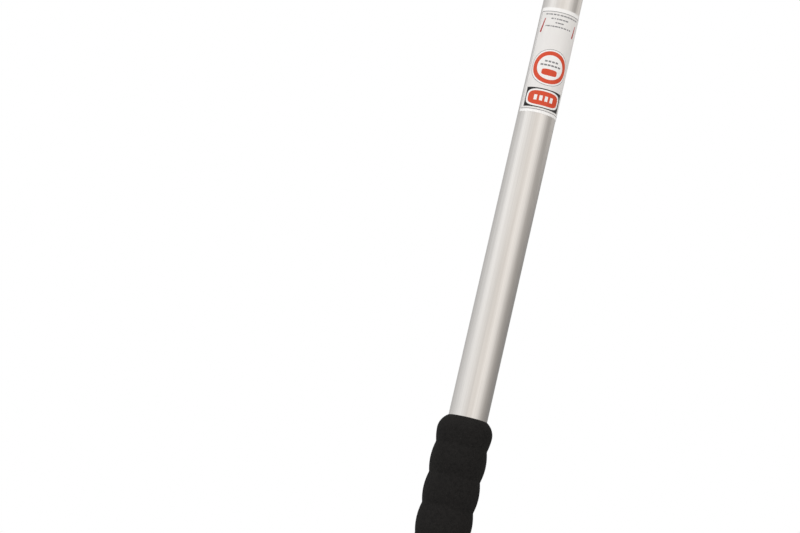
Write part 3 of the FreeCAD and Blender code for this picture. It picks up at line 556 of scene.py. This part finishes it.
def label_ink(name, colour, thin):
    """Screen-printed ink: the colour, thinner in specks, with a little relief."""
    f = Finish(name, Specular_IOR_Level=0.25, Coat_Weight=0.1, Coat_Roughness=0.15)
    speck = f.grain(1900.0, 2.0)
    f.ground(f.spread(speck, 0.0, 0.6, 0.45, 1.0), colour, thin)
    f.roughness(f.spread(speck, 0.32, 0.42))
    f.bump(speck, 0.003, 0.5)
    return f.material


def moulded_plastic(name, colour, pale, gloss=(0.42, 0.55)):
    """Spark-eroded moulding: a fine pebble, flow clouds, and edges rubbed paler and smoother."""
    f = Finish(name, Specular_IOR_Level=0.45)
    pebble = f.grain(1400.0, 3.0)
    cloud = f.grain(45.0, 3.0)
    f.ground(cloud, colour, tuple(1.25 * c for c in colour))
    wear = f.group(WEAR, "Mask", Radius=0.0008, Breakup=330.0, Amount=0.9)
    f.paint(pale, wear)
    rubs = f.group(SCRATCHES, "Mask", Scale=190.0, Stretch=(0.15, 0.15, 1), Amount=0.4)
    f.paint(pale, rubs)
    rough = f.spread(pebble, *gloss)
    f.roughness(f.math("SUBTRACT", rough, f.math("MULTIPLY", wear, 0.12)))
    f.bump(pebble, 0.035, 0.8)
    return f.material


def nylon():
    """Natural nylon: waxy off-white that lets a little light in."""
    f = Finish("natural_nylon", Subsurface_Weight=0.15, Subsurface_Scale=0.002)
    cloud = f.grain(120.0, 3.0)
    f.ground(cloud, (0.72, 0.69, 0.60), (0.80, 0.78, 0.70))
    wear = f.group(WEAR, "Mask", Radius=0.0005, Breakup=400.0, Amount=0.4)
    f.paint((0.50, 0.48, 0.44), wear)
    f.roughness(f.spread(f.grain(900.0), 0.38, 0.52))
    f.bump(f.grain(1200.0), 0.01, 0.5)
    return f.material


def zinc_plate(name="zinc_plate", tint=(0.70, 0.705, 0.71)):
    """Bright zinc on steel: cloudy, slightly blue, duller in specks, rubbed bright at edges."""
    f = Finish(name, Metallic=1.0)
    cloud = f.grain(260.0, 4.0)
    f.ground(cloud, tint, tuple(0.8 * c for c in tint))
    f.paint((0.40, 0.40, 0.39), f.spread(f.grain(900.0, 2.0), 0.0, 0.35, 0.72, 1.0))
    wear = f.group(WEAR, "Mask", Radius=0.0004, Breakup=500.0, Amount=0.7)
    f.paint((0.86, 0.86, 0.85), wear)
    f.roughness(f.spread(cloud, 0.22, 0.40))
    f.bump(f.grain(1600.0, 2.0), 0.006, 0.5)
    return f.material


def cast_aluminium():
    """Tumbled casting: coarse skin, dull grey and darker in its hollows as painted shade, with edges
    polished by handling.
    """
    f = Finish("cast_aluminium", Metallic=1.0)
    skin = f.grain(620.0, 4.0)
    cloud = f.grain(30.0, 3.0)
    f.ground(cloud, (0.46, 0.46, 0.455), (0.56, 0.56, 0.55))
    # Painted shade: darker where the skin's relief is low, in its hollows.
    f.paint((0.36, 0.36, 0.355), f.spread(skin, 0.5, 0.0, 0.0, 0.8))
    pits = f.spread(f.grain(1500.0, 2.0), 0.5, 0.0, 0.0, 0.18)
    f.paint((0.24, 0.24, 0.235), pits)
    wear = f.group(WEAR, "Mask", Radius=0.0009, Breakup=260.0, Amount=0.7)
    f.paint((0.78, 0.78, 0.77), wear)
    rough = f.spread(skin, 0.44, 0.60)
    f.roughness(f.math("SUBTRACT", rough, f.math("MULTIPLY", wear, 0.25)))
    f.bump(skin, 0.08, 0.8)
    return f.material


def hook_paint():
    """Black stoved enamel on steel, with orange peel, chipped to bare metal along its edges."""
    f = Finish("hook_enamel", Coat_Weight=0.2, Coat_Roughness=0.2)
    cloud = f.grain(80.0, 3.0)
    f.ground(cloud, (0.014, 0.014, 0.015), (0.024, 0.024, 0.026))
    wear = f.group(WEAR, "Mask", Radius=0.0006, Breakup=420.0, Amount=1.0)
    chips = f.spread(wear, 0.0, 1.0, 0.35, 0.6)
    f.paint((0.42, 0.41, 0.40), chips)
    f.link(chips, f.shader.inputs["Metallic"])
    f.roughness(f.spread(f.grain(700.0), 0.34, 0.46))
    f.bump(f.grain(380.0, 2.0), 0.02, 0.5)
    return f.material


# ---- Foam grip ----------------------------------------------------------------------------------
grip_wave_count = 8
grip_end_peak_mm = 11.8
grip_end_arc_mm = 14.0
grip_first_valley_mm = 23.0
grip_bulge_wall_mm = 6.75
grip_valley_wall_mm = 5.05
grip_notch_mm = 2.2
grip_edge_wall_mm = 0.12
grip_clearance_mm = 0.02
grip_steps = 460
grip_sides = 180
grip_bore_skip = 12
grip_fine_steps = 6000
grip_overrun_mm = 20
lump_seed = 11
lump_waves = 14
lump_height_mm = 0.018
lump_full_wall_mm = 3.0


def grip_outline():
    """The foam's wall along the sleeve. A bulge is the parabola 1 - (2p - 1)^2 of its phase p from 0
    to 1; a short average softens the notches between bulges. Near each end the wall falls by
    R - sqrt(R^2 - d^2), where d is the distance past the end bulge's peak."""
    length = (grip_high.z - grip_low.z) / MM
    crowded = length * (1 - np.cos(np.linspace(0, math.pi, grip_steps))) / 2
    z = 0.5 * crowded + 0.5 * np.linspace(0, length, grip_steps)
    fine = np.linspace(-grip_overrun_mm, length + grip_overrun_mm, grip_fine_steps)
    from_top = length - fine
    depth = grip_bulge_wall_mm - grip_valley_wall_mm
    pitch = (length - 2 * grip_first_valley_mm) / grip_wave_count
    phase = ((from_top - grip_first_valley_mm) / pitch) % 1.0
    wave = 1 - (2 * phase - 1) ** 2
    span = int(round(grip_notch_mm / (fine[1] - fine[0])))
    wave = np.convolve(wave, np.hanning(span) / np.hanning(span).sum(), mode="same")
    wall = grip_valley_wall_mm + depth * np.interp(z, fine, wave)
    end = np.minimum(z, length - z)
    inside = np.clip(grip_end_peak_mm - end, 0, None)
    drop = grip_end_arc_mm - np.sqrt(grip_end_arc_mm**2 - inside**2)
    near_end = end < grip_end_peak_mm
    wall = np.where(near_end, np.maximum(grip_bulge_wall_mm - drop, grip_edge_wall_mm), wall)
    return z, wall


def foam_sleeve():
    """The grip's outline turned round the pole, plus soft lumps, which are a sum of long sine waves
    round and along it, and a bore just clear of the tube."""
    z, wall = grip_outline()
    turns = np.linspace(0, 360, grip_sides, endpoint=False)
    a = np.radians(turns)[:, None]
    rng = np.random.default_rng(lump_seed)
    lumps = np.zeros((len(turns), len(z)))
    for _ in range(lump_waves):
        around, along = rng.integers(1, 7), rng.uniform(0.02, 0.28)
        lumps += rng.uniform(0.3, 1.0) * np.sin(around * a + along * z + rng.uniform(0, 6.3))
    lumps *= lump_height_mm * np.clip(wall / lump_full_wall_mm, 0, 1)
    outer = tube_r / MM + wall + lumps
    bore_z = z[::-grip_bore_skip]
    bore = np.full((len(turns), len(bore_z)), tube_r / MM + grip_clearance_mm)
    radius = np.concatenate([outer, bore], axis=1) * MM
    height = np.concatenate([z, bore_z]) * MM + grip_low.z
    points = round_pole(turns[:, None], radius, height[None, :])
    part, foam = closed_loop(points), grip_foam()
    sleeve = add_piece("grip_sleeve", part, foam, "handle_section", sharp_deg=75)
    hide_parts("foam_grip")


# ---- Label print --------------------------------------------------------------------------------
label_r = max(math.hypot(vert.co.x, vert.co.y) for vert in nodes["pole_label"].data.vertices)
ink_step_mm = 0.02
ink_thickness_mm = 0.05
ink_column_mm = 0.4
disc_extra_columns = 16
disc_rows = 9
disc_tip = 0.0004
stroke_steps = 9
dash_end_mm = 0.8
dash_half_mm = 0.5
dash_run_mm = (0.8, 3.0)
dash_gap_mm = (0.35, 0.8)

border_deg = (-66, 92)
border_up_mm = (2.4, 2.9, 86.8, 87.3)
border_width_mm = 0.4
pale_up_mm = (2.6, 87.1)
band_deg = (-54, 67)
band_up_mm = (4.4, 20.9)
panel_deg = 5
panel_up_mm = 12.6
panel_squareness = 3.4
panel_edge_mm = (15.6, 7.4)
panel_fill_mm = (13.8, 6.0)
panel_bar_count = 4
panel_bar_pitch_mm = 4.6
panel_bar_width_mm = 2.6
panel_bar_half_mm = 2.2

ring_deg = 4.5
ring_up_mm = 39.4

# Half widths and half heights of the ring's discs, from the lowest layer up.
ring_rim_mm = (17.0, 15.5)
ring_border_mm = (16.6, 15.1)
ring_fill_mm = (15.2, 13.8)
ring_hole_mm = (11.4, 10.4)
ring_pill_mm = (6.6, 2.7)
ring_pill_drop_mm = 4.3
ring_pill_squareness = 4.0

# Dashed lines: start and end in degrees from the front, and millimetres above the label's foot.
small_print = ((-46, 62, 84.6), (-25, 31, 81.0), (-10, 15, 77.7), (-39, 41, 74.4))

# Rows of grey bars in the ring: how many, their width, and their foot and top above its middle.
ring_bar_pitch_mm = 3.0
ring_bars = ((4, 2.2, 4.2, 5.6), (6, 2.4, 0.9, 2.3))

# Red strokes: start, end and the widths there, in degrees from the front and millimetres.
red_strokes = ((-45, 81.0, -54, 68.8, 0.9, 1.9), (59, 80.1, 55.5, 69.2, 0.9, 2.1))


def printed(across, up, layer):
    """A patch of ink on the label: across is millimetres round the tube from the front, so its angle
    is that length over the label's radius; up is millimetres above the label's foot, and each layer
    lies a little above the one before."""
    angle = np.degrees(across * MM / label_r)
    height = label_low.z + up * MM
    outer = round_pole(angle, label_r + ink_step_mm * layer * MM, height)
    inner = round_pole(angle, label_r + (ink_step_mm * layer - ink_thickness_mm) * MM, height)
    return closed_sheet(outer, inner)


def degrees_across(angle):
    """Millimetres round the label to an angle from the front: the angle in radians times the radius."""
    return math.radians(angle) * label_r / MM


def unit_grid(columns, rows):
    """Two arrays that run from -1 to 1, one along each side of a grid."""
    return np.meshgrid(np.linspace(-1, 1, columns), np.linspace(-1, 1, rows), indexing="ij")


def ink_columns(width):
    """Enough columns across a patch that its flats stay above the film's curve."""
    return max(3, 2 * math.ceil(abs(width) / ink_column_mm / 2) + 1)


def bar(x0, x1, y0, y1, layer):
    """A rectangle of ink."""
    u, v = unit_grid(ink_columns(x1 - x0), 3)
    return printed((x0 + x1) / 2 + u * (x1 - x0) / 2, (y0 + y1) / 2 + v * (y1 - y0) / 2, layer)


def disc(cx, cy, half_width, half_height, layer, squareness=2.0):
    """A superellipse of ink: columns whose half height is (1 - |u|^n)^(1/n) of the whole."""
    u, v = unit_grid(ink_columns(2 * half_width) + disc_extra_columns, disc_rows)
    u = np.sin(u * math.pi / 2)
    reach = (1 - np.abs(u) ** squareness).clip(disc_tip) ** (1 / squareness)
    return printed(cx + u * half_width, cy + v * reach * half_height, layer)


def wedge(x0, y0, x1, y1, width0, width1, layer):
    """A straight stroke of ink from one point to another that changes its width on the way."""
    t = np.linspace(0, 1, stroke_steps)[:, None]
    side = np.linspace(-0.5, 0.5, ink_columns(max(width0, width1)))[None, :]
    dx, dy = x1 - x0, y1 - y0
    length = math.hypot(dx, dy)
    width = width0 + (width1 - width0) * t
    x = x0 + dx * t - dy / length * side * width
    y = y0 + dy * t + dx / length * side * width
    return printed(x, y, layer)


def bar_row(count, pitch, width, middle, low, high, layer):
    """Equal bars of ink, evenly spaced about a middle."""
    starts = middle + pitch * (np.arange(count) - (count - 1) / 2) - width / 2
    return [bar(x, x + width, low, high, layer) for x in starts]


def dashes(left, right, y, seed):
    """A broken grey line that stands for small print."""
    rng = np.random.default_rng(seed)
    x, end, made = degrees_across(left), degrees_across(right), []
    while x < end - dash_end_mm:
        run = min(rng.uniform(*dash_run_mm), end - x)
        made.append(bar(x, x + run, y - dash_half_mm, y + dash_half_mm, 2))
        x += run + rng.uniform(*dash_gap_mm)
    return made


def label_print():
    """Generic print with no lettering: a border, a black band with a rounded orange panel and four
    white bars, an orange ring round a white disc with grey bars and a plain orange bar, two red
    strokes and dashed lines."""
    left, right = (degrees_across(angle) for angle in border_deg)
    foot_low, foot_high, head_low, head_high = border_up_mm
    middle, panel = degrees_across(ring_deg), degrees_across(panel_deg)
    pale = [bar(left, right, *pale_up_mm, 1)]
    grey = [bar(left, right, foot_low, foot_high, 2), bar(left, right, head_low, head_high, 2)]
    grey.append(bar(left, left + border_width_mm, foot_high, head_low, 2))
    for seed, (start, end, up) in enumerate(small_print):
        grey += dashes(start, end, up, seed)
    grey.append(disc(middle, ring_up_mm, *ring_rim_mm, 2))
    for count, width, foot, top in ring_bars:
        grey += bar_row(count, ring_bar_pitch_mm, width, middle, ring_up_mm + foot, ring_up_mm + top, 6)
    black = [bar(*(degrees_across(angle) for angle in band_deg), *band_up_mm, 2)]
    white = [
        disc(panel, panel_up_mm, *panel_edge_mm, 3, panel_squareness),
        disc(middle, ring_up_mm, *ring_border_mm, 3),
        disc(middle, ring_up_mm, *ring_hole_mm, 5),
    ]
    low, high = panel_up_mm - panel_bar_half_mm, panel_up_mm + panel_bar_half_mm
    white += bar_row(panel_bar_count, panel_bar_pitch_mm, panel_bar_width_mm, panel, low, high, 5)
    orange = [
        disc(panel, panel_up_mm, *panel_fill_mm, 4, panel_squareness),
        disc(middle, ring_up_mm, *ring_fill_mm, 4),
        disc(middle, ring_up_mm - ring_pill_drop_mm, *ring_pill_mm, 6, ring_pill_squareness),
    ]
    red = []
    for start, top, end, foot, top_width, foot_width in red_strokes:
        points = degrees_across(start), top, degrees_across(end), foot
        red.append(wedge(*points, top_width, foot_width, 2))
    inks = {
        "label_ink_pale": (pale, (0.80, 0.79, 0.78), (0.83, 0.82, 0.81)),
        "label_ink_grey": (grey, (0.20, 0.20, 0.21), (0.28, 0.28, 0.29)),
        "label_ink_black": (black, (0.006, 0.005, 0.005), (0.014, 0.012, 0.012)),
        "label_ink_white": (white, (0.88, 0.875, 0.87), (0.85, 0.845, 0.84)),
        "label_ink_orange": (orange, (0.66, 0.070, 0.026), (0.68, 0.095, 0.040)),
        "label_ink_red": (red, (0.42, 0.020, 0.022), (0.47, 0.06, 0.06)),
    }
    for name, (parts, colour, thin) in inks.items():
        ink = label_ink(name, colour, thin)
        add_piece(name, join_parts(parts), ink, "handle_section")


# ---- Clamps -------------------------------------------------------------------------------------
collar_bead_out_mm = 0.8
collar_rib_height_mm = 0.7
collar_rib_count = 11
collar_panel_half_deg = 40.0
collar_panel_middle_mm = 25.5
collar_panel_half_mm = 8.5
collar_rib_end_slope = 9
collar_rib_columns = 14
collar_rib_rows = 31
lever_ridge_height_mm = 0.75
lever_ridge_count = 6
lever_ridge_first_deg = 34.0
lever_ridge_step_deg = 6.0
lever_ridge_half_width_mm = 0.9
lever_ridge_half_length_mm = 8.2
lever_ridge_end_slope = 6
lever_ridge_grid = 17
edge_sunk_mm = 0.05
root_sunk_mm = 0.6


def raised_patch(turn, face, lift, height):
    """A patch that stands out from a round face by its lift, with its edges and its back sunk in."""
    outer = round_pole(turn, face + (lift - edge_sunk_mm) * MM, height)
    inner = round_pole(turn, face - root_sunk_mm * MM + 0 * lift, height)
    return closed_sheet(outer, inner)


def sleeve_ribs(prefix, body):
    """Two panels of upright ribs on the collar's sleeve, front and back. The lift is (1 - cos a) / 2,
    where a makes one turn for each rib, times the root of the distance from the panel's nearer end."""
    low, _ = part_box(prefix + "_collar")
    wall = -low.x - collar_bead_out_mm * MM
    parts = []
    for middle in (0.0, 180.0):
        u, v = unit_grid(collar_rib_count * collar_rib_columns, collar_rib_rows)
        wave = 0.5 - 0.5 * np.cos((u + 1) * math.pi * collar_rib_count)
        ends = np.clip((1 - np.abs(v)) * collar_rib_end_slope, 0, 1) ** 0.5
        turn = middle + collar_panel_half_deg * u
        height = low.z + (collar_panel_middle_mm + collar_panel_half_mm * v) * MM
        parts.append(raised_patch(turn, wall, collar_rib_height_mm * wave * ends, height))
    add_piece(prefix + "_collar_ribs", join_parts(parts), BLACK_MOULDING, body)


def lever_ridges(prefix, body):
    """Upright finger ridges on the lever's outer face. The lift is a half circle across the ridge,
    sqrt(1 - u^2), times the root of the distance from its nearer end."""
    low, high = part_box(prefix + "_lever")
    middle = (low.z + high.z) / 2
    face = -low.y
    u, v = unit_grid(lever_ridge_grid, lever_ridge_grid)
    ends = np.clip((1 - np.abs(v)) * lever_ridge_end_slope, 0, 1) ** 0.5
    lift = lever_ridge_height_mm * np.sqrt(np.clip(1 - u**2, 0, None)) * ends
    height = middle + lever_ridge_half_length_mm * MM * v
    parts = []
    for k in range(lever_ridge_count):
        angle = -(lever_ridge_first_deg + lever_ridge_step_deg * k)
        turn = angle + np.degrees(lever_ridge_half_width_mm * MM * u / face)
        parts.append(raised_patch(turn, face, lift, height))
    add_piece(prefix + "_lever_ridges", join_parts(parts), RED_MOULDING, body)


# ---- Blade and head -----------------------------------------------------------------------------
pivot = Vector(joints["blade_swing"]["pos_m"])
blade_heel_mm = (-18.5, 60.0)
blade_edge_mm = 325.0
blade_sag_mm = 26.0
blade_lean = math.radians(15.0)
tooth_pitch_mm = 4.2
tooth_depth_mm = 3.4
tooth_point_share = 0.32
blade_half_mm = 0.8
facet_share = 0.93
facet_back_share = 0.1
facet_clear_mm = 0.005
facet_sunk_mm = 0.15
facet_lifts_mm = ((0.10, 0.08), (0.0, 0.01))

# Where each temper colour starts to fade and where it ends, above the teeth's feet.
temper_brown_mm = (0.6, 2.6)
temper_dark_mm = (-0.6, 1.2)
temper_wobble_mm = 0.8


def blade_arc():
    """The circle that the teeth's feet lie on, in the XZ plane: centre, radius and half angle, and the
    directions along the blade and across it. Its radius is (c^2 / 4 + s^2) / 2s for the chord c and
    the sag s."""
    along = np.array([-math.sin(blade_lean), math.cos(blade_lean)])
    across = np.array([math.cos(blade_lean), math.sin(blade_lean)])
    radius = (blade_edge_mm**2 / 4 + blade_sag_mm**2) / (2 * blade_sag_mm)
    heel = np.array([pivot.x, pivot.z]) / MM + np.array(blade_heel_mm)
    centre = heel + along * blade_edge_mm / 2 + across * (blade_sag_mm - radius)
    return centre, radius, math.asin(blade_edge_mm / 2 / radius), along, across


def ground_steel():
    """Freshly ground facet: bright, with lines across the tooth."""
    f = Finish("ground_steel", Metallic=1.0)
    lines = f.grain(2400.0, 2.0, (1, 1, 0.15))
    f.ground(lines, (0.74, 0.74, 0.745), (0.62, 0.62, 0.63))
    f.roughness(f.spread(lines, 0.20, 0.32))
    f.bump(lines, 0.004, 0.5)
    return f.material


def blade_steel():
    """Polished blade: grinding lines along it, a few rubs, and teeth hardened to a dark blue-brown
    band that ends a little way above their feet."""
    centre, radius = blade_arc()[:2]
    f = Finish("blade_steel", Metallic=1.0, Anisotropic=0.35)
    lines = f.grain(700.0, 3.0, (1.0, 1.0, 0.03))
    cloud = f.grain(26.0, 3.0)
    f.ground(cloud, (0.60, 0.60, 0.605), (0.68, 0.68, 0.68))
    f.paint((0.48, 0.48, 0.485), f.spread(lines, 0.0, 0.45))
    rubs = f.group(SCRATCHES, "Mask", Scale=260.0, Stretch=(1, 1, 0.02), Amount=0.6)
    f.paint((0.80, 0.80, 0.80), rubs)
    where = add_node(f.tree, "ShaderNodeTexCoord")
    flat = add_node(f.tree, "ShaderNodeVectorMath", "MULTIPLY_ADD")
    flat.inputs[1].default_value = (1, 0, 1)
    flat.inputs[2].default_value = (-centre[0] * MM, 0, -centre[1] * MM)
    reach = add_node(f.tree, "ShaderNodeVectorMath", "LENGTH")
    f.link(where.outputs["Object"], flat.inputs[0])
    f.link(flat.outputs[0], reach.inputs[0])
    wobble = f.math("MULTIPLY", f.grain(300.0, 2.0), temper_wobble_mm * MM)
    out = f.math("ADD", reach.outputs["Value"], wobble)
    brown_from, brown_to = ((radius + reach_mm) * MM for reach_mm in temper_brown_mm)
    f.paint((0.36, 0.27, 0.17), f.spread(out, 1.0, 0.0, brown_from, brown_to))
    dark_from, dark_to = ((radius + reach_mm) * MM for reach_mm in temper_dark_mm)
    dark = f.spread(out, 1.0, 0.0, dark_from, dark_to)
    f.paint((0.075, 0.085, 0.13), f.math("MULTIPLY", dark, 0.92))
    f.roughness(f.spread(lines, 0.20, 0.34))
    f.bump(lines, 0.006, 0.5)
    return f.material


def tooth_facets():
    """One ground facet per tooth, on alternate sides: a thin wedge over the tooth that stands
    highest along its front edge and comes down to the blade along its back. Each tooth's feet are
    points of the arc, centre + across * r cos t + along * r sin t."""
    centre, radius, half_turn, along, across = blade_arc()
    count = int(round(2 * half_turn * radius / tooth_pitch_mm))

    def on_arc(share, depth):
        """A point at a share of the arc and a depth from it towards its centre."""
        turn = half_turn * (2 * share - 1)
        r = radius - depth
        return centre + across * (r * math.cos(turn)) + along * (r * math.sin(turn))

    parts = []
    for k in range(count):
        front, back = on_arc(k / count, 0.0), on_arc((k + 1) / count, 0.0)
        point = on_arc((k + tooth_point_share) / count, tooth_depth_mm)
        side = -1 if k % 2 else 1
        middle = (front + back + point) / 3
        lead, tip, foot = (middle + (corner - middle) * facet_share for corner in (front, point, back))
        behind_tip = tip * (1 - facet_back_share) + foot * facet_back_share
        quad = np.array([[lead, tip], [foot, behind_tip]])
        lift = np.array(facet_lifts_mm) + blade_half_mm + facet_clear_mm
        outer = np.stack([quad[..., 0], side * lift, quad[..., 1]], -1) * MM
        base = np.full((2, 2), side * (blade_half_mm - facet_sunk_mm))
        inner = np.stack([quad[..., 0], base, quad[..., 1]], -1) * MM
        parts.append(closed_sheet(outer, inner))
    steel = ground_steel()
    add_piece("blade_tooth_facets", join_parts(parts), steel, "blade", sharp_deg=20)


lock_shank_r_mm = 3.0
lock_core_r_mm = 1.9
lock_chamfer_mm = 0.9
lock_plain_end_mm = -1.0
lock_thread_pitch_mm = 1.0
lock_thread_depth_mm = 0.55
lock_head_edge_mm = 1.0
lock_head_round_mm = (0.3, 0.1)
lock_sides = 72
lock_dome_steps = 12
lock_shank_steps = 400


def carriage_bolt():
    """The locking bolt turned about its own axis: a head that is a quarter ellipse, and a shank that
    the thread cuts by depth times (1 - w), where w is a wave of straight slopes from 0 to 1 that
    advances one pitch in each turn."""
    low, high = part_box("lock_bolt")
    z = (low.z + high.z) / 2
    end, head_back = low.y / MM, high.y / MM
    head_r = (high.x - low.x) / 2 / MM
    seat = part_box("limb_hook")[0].y / MM
    edge = seat + lock_head_edge_mm
    rim_up, rim_in = lock_head_round_mm
    dome = np.linspace(0, math.pi / 2, lock_dome_steps)[1:]
    dome_r = np.concatenate([head_r * np.sin(dome), [head_r, head_r - rim_in]])
    dome_y = np.concatenate([edge + (head_back - edge) * np.cos(dome), [seat + rim_up, seat]])
    shank_y = np.linspace(seat - 0.01, end, lock_shank_steps)
    turns = np.linspace(0, 2 * math.pi, lock_sides, endpoint=False)
    phase = turns[None, :] / (2 * math.pi) + shank_y[:, None] / lock_thread_pitch_mm
    ridge = 1 - 2 * np.abs((phase % 1.0) - 0.5)
    depth = np.where(shank_y > lock_plain_end_mm, 0.0, lock_thread_depth_mm)[:, None]
    chamfer = np.clip((shank_y - end) / lock_chamfer_mm, 0, 1)[:, None]
    point = lock_core_r_mm + (lock_shank_r_mm - lock_core_r_mm) * chamfer
    shank = np.minimum(lock_shank_r_mm - depth * (1 - ridge), point)
    radius = np.vstack([np.repeat(dome_r[:, None], lock_sides, 1), shank]) * MM
    y = np.concatenate([dome_y, shank_y])[:, None] * MM
    rings = np.stack([radius * np.cos(turns), y + 0 * radius, z + radius * np.sin(turns)], -1)
    part = capped_rings(rings)
    bolt = add_piece("lock_carriage_bolt", part, ZINC, "top_section", sharp_deg=50)
    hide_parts("lock_bolt")


# ---- Everything together ------------------------------------------------------------------------
BLACK_MOULDING = moulded_plastic("black_moulding", (0.016, 0.016, 0.017), (0.09, 0.09, 0.092))
RED_MOULDING = moulded_plastic("red_moulding", (0.46, 0.045, 0.022), (0.60, 0.16, 0.11), (0.34, 0.46))
ZINC = zinc_plate()


def finish_nodes():
    """Gives every CAD node that stays its own finish."""
    tube = drawn_aluminium("anodised_tube")
    finishes = {
        "outer_tube": tube,
        "middle_tube": drawn_aluminium("anodised_middle_tube", 0.97),
        "inner_tube": drawn_aluminium("anodised_inner_tube", 0.94),
        "pole_label": label_film(),
        "butt_cap": BLACK_MOULDING,
        "middle_tube_foot": nylon(),
        "saw_head": cast_aluminium(),
        "saw_blade": blade_steel(),
        "limb_hook": hook_paint(),
        "snap_button": zinc_plate("polished_button", (0.80, 0.80, 0.80)),
        "button_spring": zinc_plate("spring_strip", (0.52, 0.50, 0.46)),
    }
    finishes["inner_tube_foot"] = finishes["middle_tube_foot"]
    for prefix in ("lower", "upper"):
        finishes[prefix + "_collar"] = BLACK_MOULDING
        finishes[prefix + "_lever"] = RED_MOULDING
    for name, node in nodes.items():
        material = finishes.get(name, ZINC)
        node.data.materials.clear()
        node.data.materials.append(material)


bpy.context.scene.view_settings.view_transform = "Standard"
add_camera()
add_world()
add_floor()
for soft_box in soft_boxes:
    add_area_light(*soft_box)
finish_nodes()
foam_sleeve()
label_print()
for clamp, section in (("lower", "handle_section"), ("upper", "middle_section")):
    sleeve_ribs(clamp, section)
    lever_ridges(clamp, clamp + "_lever")
tooth_facets()
carriage_bolt()
